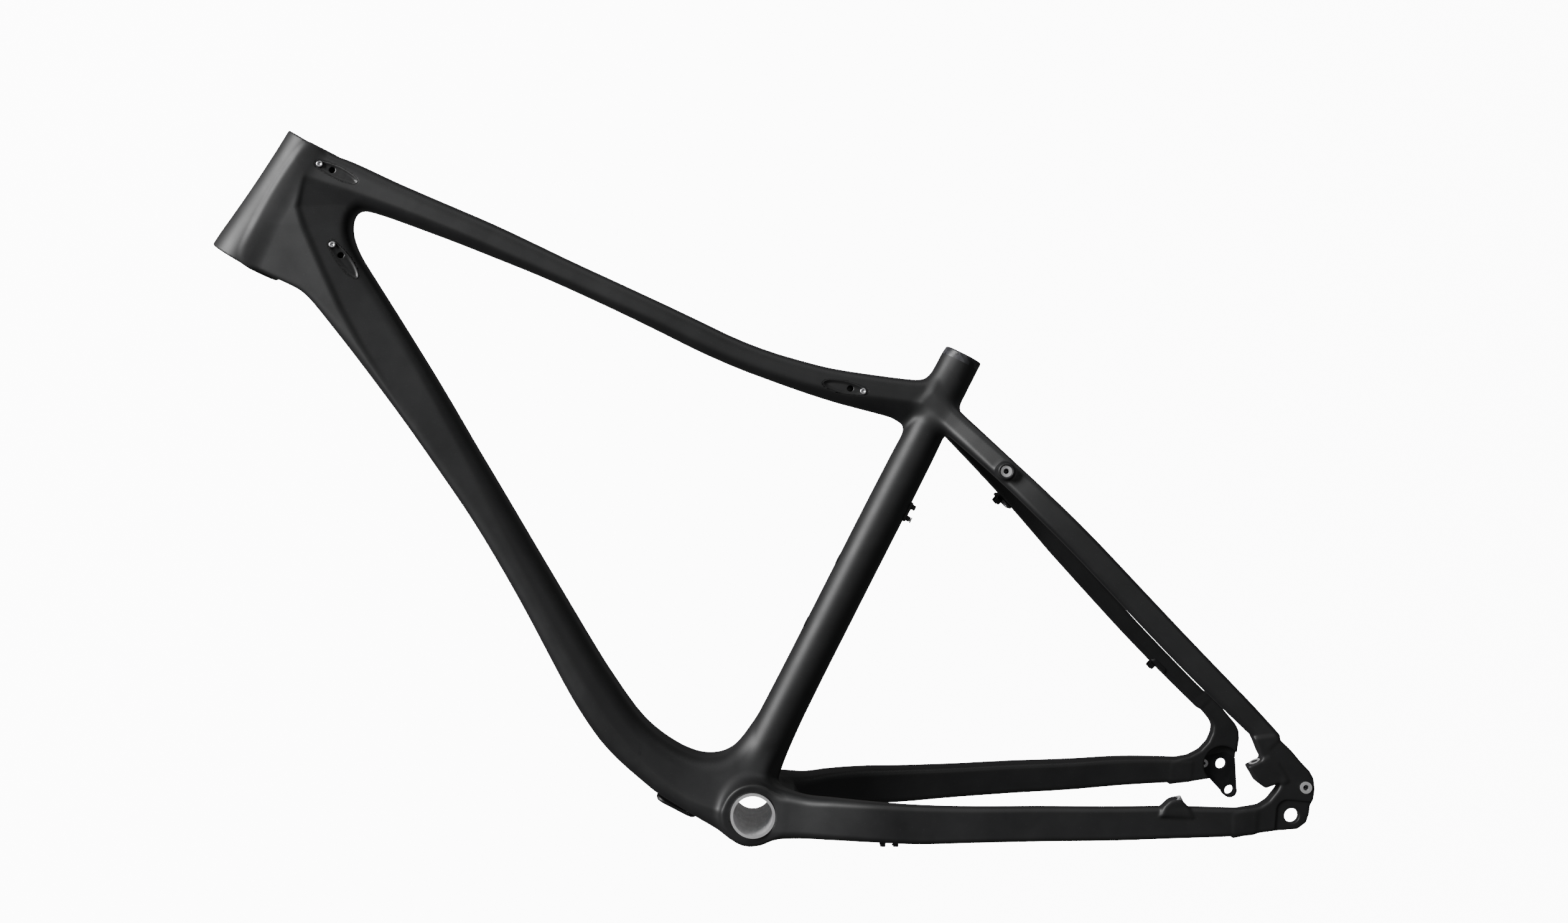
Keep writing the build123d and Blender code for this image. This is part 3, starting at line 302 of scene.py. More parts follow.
frontLow, frontHigh = (-545, -60), (180, 605)


def headRadius(along):
    return smoothCurve(along, headShape["along"], headShape["radius"])


def frontHalfWidth(x, z):
    # Half width of the side faces over the side view; each ridge is where the lean changes
    inner = -loopDistance(innerFace, x, z)
    face = lineAbove(faceRidge, x, z)
    above = lineAbove(topRidge, x, z)
    innerLean = smoothCurve(x, *frontWidths["innerLean"])
    upperLean = smoothCurve(x, *frontWidths["upperLean"])
    low = softMax(-inner, 0.0 * inner, frontWidths["ridge"])
    high = softMax(face, 0.0 * face, frontWidths["ridge"])
    inner = softMax(inner, 0.0 * inner, frontWidths["innerRidge"])
    fadeFrom, fadeOver = frontWidths["panelFade"]
    step = frontWidths["panelStep"] * np.clip(inner / frontWidths["panelRise"], 0.0, 1.0)
    step = step * np.clip((fadeFrom - x) / fadeOver, 0.0, 1.0)
    down = smoothCurve(x, *frontWidths["down"]) - step
    down = down - smoothCurve(x, *frontWidths["flankLean"]) * low * (above < 0) - innerLean * inner
    down = down - np.maximum(upperLean - innerLean, 0.0) * high
    lean = softMax(above * frontWidths["topUpperLean"], -above * frontWidths["topLowerLean"],
                   frontWidths["topRidge"])
    top = smoothCurve(x, *frontWidths["top"]) - lean
    # The side of the head runs back along the top tube above its ridge
    down = np.where(above > 0, np.minimum(down, top), down)
    width = softMax(down, top, frontWidths["join"])
    # Near the head tube the sides start level with its own
    dx, dz = x - headFoot[0], z - headFoot[2]
    behind = (dx * headAxis[2] - dz * headAxis[0] - headShape["levelFrom"]) / headShape["levelOver"]
    behind = np.clip(behind, 0.0, 1.0)
    behind = behind * behind * (3 - 2 * behind)
    level = headRadius(dx * headAxis[0] + dz * headAxis[2]) - headShape["levelIn"]
    return np.minimum(width, level * (1 - behind) + width * behind)


outlineMap = SideMap(frontOutline, frontLow, frontHigh, 1.0, 3)
widthMap = SideMap(frontHalfWidth, frontLow, frontHigh, 1.0, 1)
boss = {"radius": 27.6, "half": 48.4, "hole": 19.8, "edge": 3.0}
# Widths of the soft joins between the parts of the moulding
joins = {"head": 6.0, "seat": 7.0, "seatFoot": 6.0, "boss": 9.0, "arm": 6.0, "web": 8.0, "seatstay": 9.0,
         "end": 4.0}
tubeEdge = {"front": 4.0, "more": 7.5, "from": -455.0, "over": 60.0}
seatFuller = {"z": [-10, 20, 45, 75, 110, 180, 300, 330, 350],
              "more": [8.0, 6.5, 3.6, 1.8, 1.2, 1.0, 0.9, 0.6, 0.0], "foot": -5.0, "edge": 0.8}
armWeb = {"half": 24.0, "depth": 20.0, "taper": 0.12, "long": 40.0, "rise": 1.5, "corner": 10.0,
          "start": 0.0, "end": 36.0}


def headField(x, y, z):
    # Tapered head tube, wider at its foot, cut square at both ends
    dx, dz = x - headFoot[0], z - headFoot[2]
    along = dx * headAxis[0] + dz * headAxis[2]
    off = np.sqrt((dx * headAxis[2] - dz * headAxis[0]) ** 2 + y * y)
    field = off - headRadius(along)
    edge = headShape["edge"]
    return softMax(softMax(field, -along, edge), along - headLength, edge)


# Chainstay and seatstay: their middle lines and sections, point by point
stay = {"x": [0, 15, 30, 47, 70, 100, 140, 187, 245, 304, 355, 402, 430],
        "y": [16, 24, 34, 43, 55, 67, 74.5, 79.5, 84.5, 90.0, 95.5, 99.0, 99.2],
        "z": [-1.0, 0.0, 1.5, 2.9, 6.0, 9.2, 12.2, 17.6, 24.9, 31.8, 38.9, 44.2, 47.4],
        "lift": [0, 0, 0, 0, 0, 0, 0.5, 1.0, 1.4, 1.4, 1.2, 0.5, 0],
        "width": [40, 37, 33, 29, 25.5, 22, 19.5, 18.5, 18, 17, 16, 13.8, 13.0],
        "depth": [50, 46, 40.5, 35.7, 34.5, 33.4, 32.2, 29.8, 28.6, 27.4, 26.2, 23.5, 21.0],
        "corner": [12, 11, 9, 7.5, 6.5, 5.5, 4.6, 4.4, 4.2, 4.0, 4.0, 3.8, 3.6],
        "topLean": 0.12, "leanOver": 10.0, "start": 2.0, "end": 424.0}


def yokeField(x, y, z):
    # Chainstay arm and stay, read along x, the right one a little higher
    zc = smoothCurve(x, stay["x"], stay["z"]) + (y > 0) * smoothCurve(x, stay["x"], stay["lift"])
    yc = smoothCurve(x, stay["x"], stay["y"])
    slopeZ = (smoothCurve(x + 3, stay["x"], stay["z"]) - smoothCurve(x - 3, stay["x"], stay["z"])) / 6
    slopeY = (smoothCurve(x + 3, stay["x"], stay["y"]) - smoothCurve(x - 3, stay["x"], stay["y"])) / 6
    up = (z - zc) / np.sqrt(1 + slopeZ * slopeZ)
    across = (np.abs(y) - yc) / np.sqrt(1 + slopeY * slopeY)
    halfWidth = smoothCurve(x, stay["x"], stay["width"]) / 2
    halfDepth = smoothCurve(x, stay["x"], stay["depth"]) / 2
    corner = smoothCurve(x, stay["x"], stay["corner"])
    up = up - across * stay["topLean"] * np.clip(up / stay["leanOver"], 0.0, 1.0)
    field = barField(across, up, halfWidth, halfDepth, corner)
    return softMax(softMax(field, stay["start"] - x, joins["end"]), x - stay["end"], joins["end"])


upper = {"start": (134.4, 372.5), "end": (432.0, 112.8),
         "s": [-20, 0, 20, 45, 75, 105, 140, 190, 240, 290, 330, 370, 395, 410],
         "y": [2, 6, 15, 30, 46, 59, 68.5, 76.0, 81.5, 87.0, 91.5, 96.5, 99.2, 99.2],
         "rise": [0, 0, 0, 0, 0.2, 0.4, 0.3, -0.6, -1.6, -2.2, -1.8, -0.8, 0, 0],
         "width": [24, 25, 23, 21, 19, 17.5, 16.5, 15.5, 15, 14.5, 14, 13.5, 13.2, 13.2],
         "depth": [26, 25, 22, 19.5, 17.6, 17.0, 16.8, 16.8, 16.8, 16.8, 16.6, 16.2, 16.0, 16.0],
         "shift": (0.9, -1.5), "shiftFrom": 120.0, "shiftOver": 60.0, "root": -14.0,
         "leftExtra": [0, 0, 1.0, 2.4, 3.4, 4.2, 4.8, 5.0, 5.0, 4.8, 4.2, 2.8, 1.0, 0.0],
         "corner": [8, 8, 7, 6, 5, 4.6, 4.4, 4.2, 4.0, 4.0, 4.0, 4.0, 4.0, 4.0]}
upperRun = np.array(upper["end"]) - np.array(upper["start"])
upperLength = float(np.hypot(*upperRun))
upperDir = upperRun / upperLength


def seatstayField(x, y, z):
    # Seatstay, read along the straight line from its root to its end
    dx, dz = x - upper["start"][0], z - upper["start"][1]
    s = dx * upperDir[0] + dz * upperDir[1]
    extra = (y < 0) * smoothCurve(s, upper["s"], upper["leftExtra"])
    shift = np.clip((s - upper["shiftFrom"]) / upper["shiftOver"], 0.0, 1.0)
    shift = np.where(y < 0, *upper["shift"]) * shift
    up = -dx * upperDir[1] + dz * upperDir[0] - smoothCurve(s, upper["s"], upper["rise"])
    up = up - extra / 2 - shift
    yc = smoothCurve(s, upper["s"], upper["y"])
    slope = (smoothCurve(s + 3, upper["s"], upper["y"]) - smoothCurve(s - 3, upper["s"], upper["y"])) / 6
    across = (np.abs(y) - yc) / np.sqrt(1 + slope * slope)
    field = barField(across, up, smoothCurve(s, upper["s"], upper["width"]) / 2,
                     (smoothCurve(s, upper["s"], upper["depth"]) + extra) / 2,
                     smoothCurve(s, upper["s"], upper["corner"]))
    return softMax(softMax(field, upper["root"] - s, joins["end"]), s - upperLength, joins["end"])


def frontField(x, y, z):
    y = np.abs(y)
    edge = np.clip((x - tubeEdge["from"]) / tubeEdge["over"], 0.0, 1.0)
    edge = tubeEdge["front"] + tubeEdge["more"] * edge
    plate = softMax(outlineMap(x, z), y - widthMap(x, z), edge)
    field = softMin(plate, headField(x, y, z), joins["head"])
    fuller = smoothCurve(z, seatFuller["z"], seatFuller["more"])
    seat = rodField(seatTop, seatAxis, seatRadius, x, y, z, None, 0.0, seatFuller["edge"]) - fuller
    seat = softMax(seat, seatFuller["foot"] - z, joins["seatFoot"])
    field = softMin(field, seat, joins["seat"])
    shell = rodField((0, 0, 0), (0, 1, 0), boss["radius"], x, y, z, None, boss["half"], boss["edge"])
    return softMin(field, shell, joins["boss"])


def bodyField(x, y, z):
    # The whole moulding, before its holes
    field = frontField(x, y, z)
    arm = yokeField(x, y, z)
    depth = armWeb["depth"] - armWeb["taper"] * np.clip(x, 0, armWeb["long"])
    web = barField(np.abs(y), z - armWeb["rise"], armWeb["half"], depth, armWeb["corner"])
    web = web + np.maximum(x - armWeb["end"], 0.0) + np.maximum(armWeb["start"] - x, 0.0)
    field = softMin(field, softMin(arm, web, joins["web"]), joins["arm"])
    return softMin(field, seatstayField(x, y, z), joins["seatstay"])


seamSettings = {"foot": (46.0, 3.0), "top": (176.0, 335.0)}
seamRun = np.array(seamSettings["top"]) - np.array(seamSettings["foot"])
seamRun = seamRun / np.hypot(*seamRun)


def seamField(x, z):
    # Above nought behind the seam between the front and rear mouldings
    return (x - seamSettings["foot"][0]) * seamRun[1] - (z - seamSettings["foot"][1]) * seamRun[0]


collar = {"front": (131.0, 417.0), "rear": (163.0, 389.0), "reach": 24.0, "slot": 2.2,
          "slotLength": 22.0, "slotEnd": 5.0, "slotFrom": 4.0, "edge": 0.4}


def collarField(x, z):
    # Below nought in the seat tube's open top
    run = np.array(collar["rear"], float) - np.array(collar["front"], float)
    run = run / np.hypot(*run)
    return (x - collar["front"][0]) * run[1] - (z - collar["front"][1]) * run[0]


# Leaf-shaped plates over the cable holes, each with a screw at one end; the skin has a pocket for them
portLeans = {"top_tube_front_port": (-20.5, -1), "top_tube_rear_port": (-7.0, 1),
             "down_tube_port": (-49.0, -1)}
portLook = {"half": [(-21, 0.6), (-19, 2.6), (-15, 4.2), (-8, 5.4), (0, 5.8), (8, 5.0), (14, 3.9),
                     (18, 3.3), (20.4, 1.8)],
            "screw": 16.2, "hole": 4.5, "holeRadius": 2.6, "rim": 0.35, "sink": 2.6, "dish": 2.0,
            "dishRun": 2.6, "dishPower": 0.7, "proud": 0.35, "under": 0.5, "edge": 0.4, "play": 0.2,
            "holeEnd": 8.0, "holePlay": 0.3, "pocketEdge": 0.3, "reach": 26.0}
screwLook = {"radius": 2.8, "half": 1.0, "proud": 0.1, "edge": 0.5, "socket": 1.25, "socketFloor": 0.3,
             "socketEdge": 0.15}
portPlaces = {}
for name, (lean, end) in portLeans.items():
    low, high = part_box(name + "_left")
    middle = (np.array(low) + np.array(high)) * 500.0
    run = np.array([math.cos(math.radians(lean)), math.sin(math.radians(lean))]) * end
    portPlaces[name] = (middle[[0, 2]], run)


def portLeaf(name, x, z):
    (mx, mz), run = portPlaces[name]
    side = np.array([-run[1], run[0]])
    half = portLook["half"]
    line = [(mx + run[0] * t + side[0] * h, mz + run[1] * t + side[1] * h) for t, h in half]
    line += [(mx + run[0] * t - side[0] * h, mz + run[1] * t - side[1] * h) for t, h in half[::-1]]
    return loopDistance(roundedLoop(line), x, z)


leafMaps = {}
for name, ((mx, mz), run) in portPlaces.items():
    reach = portLook["reach"] + 2.0
    leafMaps[name] = SideMap(lambda x, z: portLeaf(name, x, z), (mx - reach, mz - reach),
                             (mx + reach, mz + reach), 0.5, 1)


def anyLeaf(x, z):
    nearest = np.full(np.broadcast_shapes(x.shape, z.shape), 50.0)
    for name, ((mx, mz), run) in portPlaces.items():
        near = (np.abs(x - mx) < portLook["reach"]) & (np.abs(z - mz) < portLook["reach"])
        if near.any():
            nearest = np.where(near, np.minimum(nearest, leafMaps[name](x, z)), nearest)
    return nearest


def portPlate(name, x, y, z):
    # Follows the skin under it, dished inside its rim
    body = frontField(x, y, z)
    (mx, mz), run = portPlaces[name]
    leaf = leafMaps[name](x, z)
    dish = portLook["dish"] * np.clip(-leaf / portLook["dishRun"], 0.0, 1.0) ** portLook["dishPower"]
    layer = np.maximum(body - portLook["proud"] + dish, -body - portLook["sink"] - portLook["under"])
    field = softMax(leaf - portLook["rim"], layer, portLook["edge"])
    hx, hz = mx + run[0] * portLook["hole"], mz + run[1] * portLook["hole"]
    hole = np.sqrt((x - hx) ** 2 + (z - hz) ** 2) - portLook["holeRadius"]
    return softMax(field, -hole, portLook["edge"])


def portScrew(name, x, y, z):
    body = frontField(x, y, z)
    (mx, mz), run = portPlaces[name]
    sx, sz = mx + run[0] * portLook["screw"], mz + run[1] * portLook["screw"]
    dx, dz = np.abs(x - sx), np.abs(z - sz)
    round = np.sqrt(dx * dx + dz * dz) - screwLook["radius"]
    head = softMax(round, np.abs(body - screwLook["proud"]) - screwLook["half"], screwLook["edge"])
    hexagon = np.maximum(dx * math.cos(math.pi / 6) + dz * 0.5, dz) - screwLook["socket"]
    socket = np.maximum(hexagon, screwLook["socketFloor"] - body)
    return softMax(head, -socket, screwLook["socketEdge"])


# Bores of the front mouldings, radius and how deep each goes from its mouth
bores = {"seatpost": (14.6, 70.0), "headTube": 19.0, "upperSeat": (22.0, 13.2), "lowerSeat": (27.0, 13.2),
         "edge": 0.6, "mouth": 1.0, "lip": 0.8}


def frontHoles(x, y, z):
    y = np.abs(y)
    edge, mouth = bores["edge"], bores["mouth"]
    radius, depth = bores["seatpost"]
    hole = rodField(seatTop, seatAxis, radius, x, y, z, -depth, None, mouth)
    hole = softMin(hole, rodField(headCrown, headAxis, bores["headTube"], x, y, z), edge)
    radius, depth = bores["upperSeat"]
    hole = softMin(hole, rodField(headCrown, headAxis, radius, x, y, z, -depth, None, mouth), edge)
    radius, depth = bores["lowerSeat"]
    hole = softMin(hole, rodField(headFoot, headAxis, radius, x, y, z, None, depth, mouth), edge)
    return softMin(hole, rodField((0, 0, 0), (0, 1, 0), boss["hole"], x, y, z), edge)


def frontSkin(x, y, z):
    body = bodyField(x, y, z)
    pocket = np.maximum(anyLeaf(x, z) + portLook["play"], -body - portLook["sink"])
    for (mx, mz), run in portPlaces.values():
        hx, hz = mx + run[0] * portLook["hole"], mz + run[1] * portLook["hole"]
        hole = np.sqrt((x - hx) ** 2 + (z - hz) ** 2) - portLook["holeRadius"] - portLook["holePlay"]
        pocket = np.minimum(pocket, np.maximum(hole, portLook["holeEnd"] - np.abs(y)))
    return softMax(softMax(body, -pocket, portLook["pocketEdge"]), -frontHoles(x, y, z), bores["lip"])


def collarSkin(x, y, z):
    # Top of the seat tube with its bore and the clamp's slot at the rear
    field = frontField(x, y, z)
    field = softMax(field, -rodField(seatTop, seatAxis, seatRadius - seatWall, x, y, z), 0.5)
    dx, dz = x - seatTop[0], z - seatTop[2]
    along = dx * seatAxis[0] + dz * seatAxis[2]
    behind = dx * seatAxis[2] - dz * seatAxis[0]
    slot = np.maximum(np.abs(y) - collar["slot"] / 2, -collar["slotLength"] - along)
    end = np.sqrt(y * y + (along + collar["slotLength"]) ** 2) - collar["slotEnd"] / 2
    slot = np.maximum(np.minimum(slot, end), collar["slotFrom"] - behind)
    return softMax(field, -slot, collar["edge"])


# Where the head and seat mouldings meet, and how far neighbours run into each other
headSeam, seamOverlap = -105.0, 1.2


def headRegion(x, y, z):
    return spread(x - headSeam - seamOverlap, x, y, z)


def collarRegion(x, y, z):
    return np.maximum(collarField(x, z), rodField(seatTop, seatAxis, collar["reach"], x, y, z))


def seatRegion(x, y, z):
    ahead = np.maximum(headSeam - seamOverlap - x, seamField(x, z) - seamOverlap)
    return np.maximum(ahead, -collarRegion(x, y, z))


# Dropouts: side outlines
leftPlate = [
    (404, 31), (402, 52), (412, 57), (425, 60.5), (432, 66), (438, 75), (442, 84), (440, 88),
    (434, 91), (426, 97), (420, 106), (414, 118), (432, 122), (447, 110), (456, 101), (464, 94),
    (468, 88), (469.8, 79), (469.3, 70), (467, 65), (467, 58), (465, 50), (458, 44), (448, 42.3),
    (440, 41.0), (425, 37.5), (414, 35)]
rightPlate = [
    (402, 31), (402, 52), (412, 58), (420, 60.5), (430, 67), (437, 76), (440, 85), (440, 92),
    (437, 97), (430, 104), (418, 115), (430, 124), (447, 110), (456, 101), (462, 95), (465, 90),
    (466.5, 82), (466, 75), (465.5, 64), (465, 60), (463, 48), (456, 42), (440, 40), (424, 36)]
postTab = [(411.5, 93), (428, 102.8), (436, 98), (446, 84), (428, 76), (420, 81)]
frontPad = [(342, 44), (344, 53), (349, 58.5), (354, 60.8), (359, 59.8), (364, 55.5), (369, 46)]


def crisp(line, reach=2.0):
    # Two more points beside each corner, so that easing rounds it only that far
    points = []
    for a, b in zip(np.array(line, float), np.roll(np.array(line, float), -1, axis=0)):
        run = b - a
        length = float(np.hypot(*run))
        points.append(a)
        if length > 3 * reach:
            points += [a + run * reach / length, b - run * reach / length]
    return points


def plateMap(line, low=(330, 0), high=(485, 140)):
    loop = roundedLoop(crisp(line))
    return SideMap(lambda x, z: loopDistance(loop, x, z), low, high, 0.75, 1)


maps = {"leftPlate": plateMap(leftPlate), "rightPlate": plateMap(rightPlate),
        "postTab": plateMap(postTab), "frontPad": plateMap(frontPad)}
dropout = {"middle": 99.2, "half": 6.6, "edge": 3.0, "join": 2.0, "padMiddle": 99.0, "padHalf": 6.0,
           "tabEdge": 2.5, "padEdge": 3.0, "padJoin": 3.0}
# Bosses, pockets and holes of the rear mouldings: places in the side view, radii and depths
rearCuts = {"boss": (191.9, -62.0, 322.4), "bossRadius": 7.4, "bossEnds": (-6.0, 7.2), "bossEdge": 1.6,
            "bossJoin": 4.0, "pocket": (459.0, 52.0), "pocketHalf": (20.0, 16.0, 9.0), "pocketFloor": 104.6,
            "pocketEdge": 0.8, "seatEdge": 1.2, "axle": (452.2, 0, 55.0), "hubRadius": 18.0,
            "hubEnds": (80.0, 98.6), "hubEdge": 0.8, "axleRadius": 6.2, "axleEdge": 0.9,
            "eyelet": (461.5, 0, 80.0), "rack": (191.9, 0, 322.4), "threadRadius": 5.1,
            "eyeletFrom": 97.0, "rackFrom": 60.0, "threadEdge": 0.6}


def rearField(x, y, z, left):
    depth, sideways, cuts = np.abs(y), (0, 1, 0), rearCuts
    field = bodyField(x, y, z)
    fromMiddle = np.abs(depth - dropout["middle"]) - dropout["half"]
    plate = softMax(maps["leftPlate" if left else "rightPlate"](x, z), fromMiddle, dropout["edge"])
    field = softMin(field, plate, dropout["join"])
    if left:
        tab = softMax(maps["postTab"](x, z), fromMiddle, dropout["tabEdge"])
        field = softMin(field, tab, dropout["padJoin"])
        fromMiddle = np.abs(depth - dropout["padMiddle"]) - dropout["padHalf"]
        pad = softMax(maps["frontPad"](x, z), fromMiddle, dropout["padEdge"])
        field = softMin(field, pad, dropout["padJoin"])
    stub = rodField(cuts["boss"], (0, -1, 0), cuts["bossRadius"], x, -depth, z, *cuts["bossEnds"],
                    cuts["bossEdge"])
    field = softMin(field, stub, cuts["bossJoin"])
    # Pocket on the outer face round the axle, and the hub's seat on the inner one
    pocket = barField(x - cuts["pocket"][0], z - cuts["pocket"][1], *cuts["pocketHalf"])
    pocket = softMax(pocket, cuts["pocketFloor"] - depth, cuts["pocketEdge"])
    field = softMax(field, -pocket, cuts["seatEdge"])
    hub = rodField(cuts["axle"], sideways, cuts["hubRadius"], x, depth, z, *cuts["hubEnds"], cuts["hubEdge"])
    field = softMax(field, -hub, cuts["seatEdge"])
    axle = rodField(cuts["axle"], sideways, cuts["axleRadius"], x, depth, z)
    field = softMax(field, -axle, cuts["axleEdge"])
    eyelet = rodField(cuts["eyelet"], sideways, cuts["threadRadius"], x, depth, z, cuts["eyeletFrom"])
    field = softMax(field, -eyelet, cuts["threadEdge"])
    rack = rodField(cuts["rack"], sideways, cuts["threadRadius"], x, depth, z, cuts["rackFrom"])
    return softMax(field, -rack, cuts["threadEdge"])


# Skins: a mesh on an even grid, each point then moved onto the field
def skinMesh(name, field, low, high, step, region):
    low, high = np.array(low, float), np.array(high, float)
    size = np.ceil((high - low) / step).astype(int) + 1
    x, y, z = (low[k] + np.arange(size[k]) * step for k in range(3))
    values = np.empty(size, np.float32)
    for start in range(0, size[0], 40):
        part = slice(start, start + 40)
        place = (x[part, None, None], y[None, :, None], z[None, None, :])
        values[part] = np.maximum(field(*place), region(*place))
    inside = values < 0
    count = np.zeros(size - 1, np.int8)
    corners = [(a, b, c) for a in (0, 1) for b in (0, 1) for c in (0, 1)]
    for a, b, c in corners:
        count += inside[a:size[0] - 1 + a, b:size[1] - 1 + b, c:size[2] - 1 + c]
    cells = np.argwhere((count > 0) & (count < 8))
    index = np.full(size - 1, -1, np.int64)
    index[tuple(cells.T)] = np.arange(len(cells))
    cornerValues = np.stack([values[cells[:, 0] + a, cells[:, 1] + b, cells[:, 2] + c]
                             for a, b, c in corners], 1)
    total, hits = np.zeros((len(cells), 3)), np.zeros(len(cells))
    for i, first in enumerate(corners):
        for j, second in enumerate(corners):
            if j <= i or sum(abs(p - q) for p, q in zip(first, second)) != 1:
                continue
            va, vb = cornerValues[:, i], cornerValues[:, j]
            cross = (va < 0) != (vb < 0)
            t = np.where(cross, va / np.where(cross, va - vb, 1.0), 0.0)[:, None]
            total += (np.array(first) * (1 - t) + np.array(second) * t) * cross[:, None]
            hits += cross
    points = low + (cells + total / hits[:, None]) * step
    faces = []
    for axis in range(3):
        other = [k for k in range(3) if k != axis]
        lead, follow = [slice(None)] * 3, [slice(None)] * 3
        lead[axis], follow[axis] = slice(0, -1), slice(1, None)
        at = np.argwhere(inside[tuple(lead)] != inside[tuple(follow)])
        keep = (at[:, other] > 0).all(1) & (at[:, other] < size[other] - 1).all(1)
        at = at[keep]
        quad = []
        for da, db in ((1, 1), (0, 1), (0, 0), (1, 0)):
            cell = at.copy()
            cell[:, other[0]] -= da
            cell[:, other[1]] -= db
            quad.append(index[tuple(cell.T)])
        quad = np.stack(quad, 1)
        outward = inside[tuple(at.T)] != (axis == 1)
        faces.append(np.where(outward[:, None], quad, quad[:, ::-1]))
    faces = np.concatenate(faces)

    def read(function, p):
        return np.array(np.broadcast_to(function(p[:, 0], p[:, 1], p[:, 2]), len(p)), float)

    def gradient(function, p, reach):
        out = np.empty_like(p)
        for k in range(3):
            offset = np.zeros(3)
            offset[k] = reach
            out[:, k] = (read(function, p + offset) - read(function, p - offset)) / (2 * reach)
        return out

    def drawn(function, p, limit):
        # Points moved along the slope to where the function is nought
        slope = gradient(function, p, 0.5)
        move = read(function, p)[:, None] * slope
        move /= np.maximum((slope ** 2).sum(1), 0.05)[:, None]
        length = np.maximum(np.linalg.norm(move, axis=1), 1e-9)[:, None]
        return p - move * np.minimum(1.0, limit / length)

    cut = np.abs(read(region, points)) < step * 0.9
    for _ in range(4):
        near = np.abs(read(field, points)) < step * 1.1
        points[near] = drawn(field, points[near], step * 0.6)
        if cut.any():
            points[cut] = drawn(region, points[cut], step * 0.6)
    value = np.abs(read(field, points))
    normals = gradient(field, points, 1.0)
    cap = cut & (value > 0.25)
    if cap.any():
        normals[cap] = gradient(region, points[cap], 0.5)
    normals /= np.maximum(np.linalg.norm(normals, axis=1), 1e-9)[:, None]
    mesh = bpy.data.meshes.new(name)
    mesh.from_pydata((points * mm).tolist(), [], faces.tolist())
    mesh.polygons.foreach_set("use_smooth", np.ones(len(mesh.polygons), bool))
    mesh.update()
    mesh.normals_split_custom_set_from_vertices(normals.tolist())
    piece = bpy.data.objects.new(name, mesh)
    bpy.context.scene.collection.objects.link(piece)
    off = float(value[~cut].max())
    print(name, "triangles", 2 * len(faces), "furthest from its field", round(off, 2))
    return piece


steps = {"front": 1.6, "rear": 1.25, "collar": 0.7}
headMoulding = skinMesh("head_moulding", frontSkin, (-545, -40, -5), (-100, 40, 602),
                        steps["front"], headRegion)
seatMoulding = skinMesh("seat_moulding", frontSkin, (-110, -62, -40), (190, 62, 446),
                        steps["front"], seatRegion)
seatCollar = skinMesh("seat_tube_collar", collarSkin, (120, -20, 380), (178, 20, 436),
                      steps["collar"], collarRegion)
print("rear half")


def rearRegion(x, y, z):
    return spread(-seamField(x, z), x, y, z)


rearLeft = skinMesh("rear_moulding_left", lambda x, y, z: rearField(x, y, z, True),
                    (30, -112, -30), (476, -2, 360), steps["rear"], rearRegion)
rearRight = skinMesh("rear_moulding_right", lambda x, y, z: rearField(x, y, z, False),
                     (30, 2, -30), (476, 112, 360), steps["rear"], rearRegion)
mouldings = {
    headMoulding: ("head_tube", "top_tube", "down_tube"),
    seatMoulding: ("seat_tube", "bottom_bracket_junction"),
    seatCollar: ("seat_tube",),
    rearLeft: ("chainstay_left", "seatstay_left", "dropout_left", "chainstay_yoke"),
    rearRight: ("chainstay_right", "seatstay_right", "dropout_right", "seatstay_wishbone")}
for piece, nodes in mouldings.items():
    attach(piece, "root")
    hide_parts(*nodes)
print("fittings")
fittings = []


def everywhere(x, y, z):
    return spread(-50.0, x, y, z)


def addFitting(name, field, low, high, step, slot, node):
    piece = skinMesh(name, field, low, high, step, everywhere)
    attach(piece, "root")
    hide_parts(node)
    fittings.append((piece, slot))


for name, ((mx, mz), run) in portPlaces.items():
    middle = np.array([mx, mz])
    sx, sz = middle + run * portLook["screw"]
    for side, low, high in (("left", -32.0, -12.0), ("right", 12.0, 32.0)):
        addFitting(name + "_plate_" + side, lambda x, y, z: portPlate(name, x, y, z),
                   (mx - 23, low, mz - 23), (mx + 23, high, mz + 23), 0.6,
                   "black_nylon", name + "_" + side)
        addFitting(name + "_screw_" + side, lambda x, y, z: portScrew(name, x, y, z),
                   (sx - 4, low, sz - 4), (sx + 4, high, sz + 4), 0.25,
                   "zinc_steel", "port_screws")

# Cable guides: a block with two hooks round the cable's path
guideLook = {"seatDown": 150.0, "length": 19.0, "width": 11.0, "height": 6.0, "path": 2.2, "gap": 3.4}
guideAway = np.array([seatAxis[2], 0.0, -seatAxis[0]])
guideFoot = seatTop - seatAxis * guideLook["seatDown"] + guideAway * (seatRadius + 0.2)


def guideField(foot, along, away, x, y, z):
    dx, dz = x - foot[0], z - foot[2]
    t = dx * along[0] + dz * along[2]
    h = dx * away[0] + dz * away[2]
    v = y - foot[1]
    base = barField(t, v, guideLook["length"] / 2, guideLook["width"] / 2, 2.0)
    base = softMax(base, np.abs(h - 0.6) - 1.8, 0.6)
    hooks = barField(np.abs(t) - guideLook["gap"] - 2.2, v, 2.4, guideLook["width"] / 2 - 0.5, 0.8)
    hooks = softMax(hooks, np.maximum(h - guideLook["height"], -h), 1.0)
    path = np.sqrt((h - guideLook["height"] + 2.6) ** 2 + v * v) - guideLook["path"]
    mouth = np.maximum(np.abs(v) - 1.3, guideLook["height"] - 2.6 - h)
    field = softMin(base, hooks, 1.0)
    return softMax(field, -np.minimum(path, mouth), 0.4)


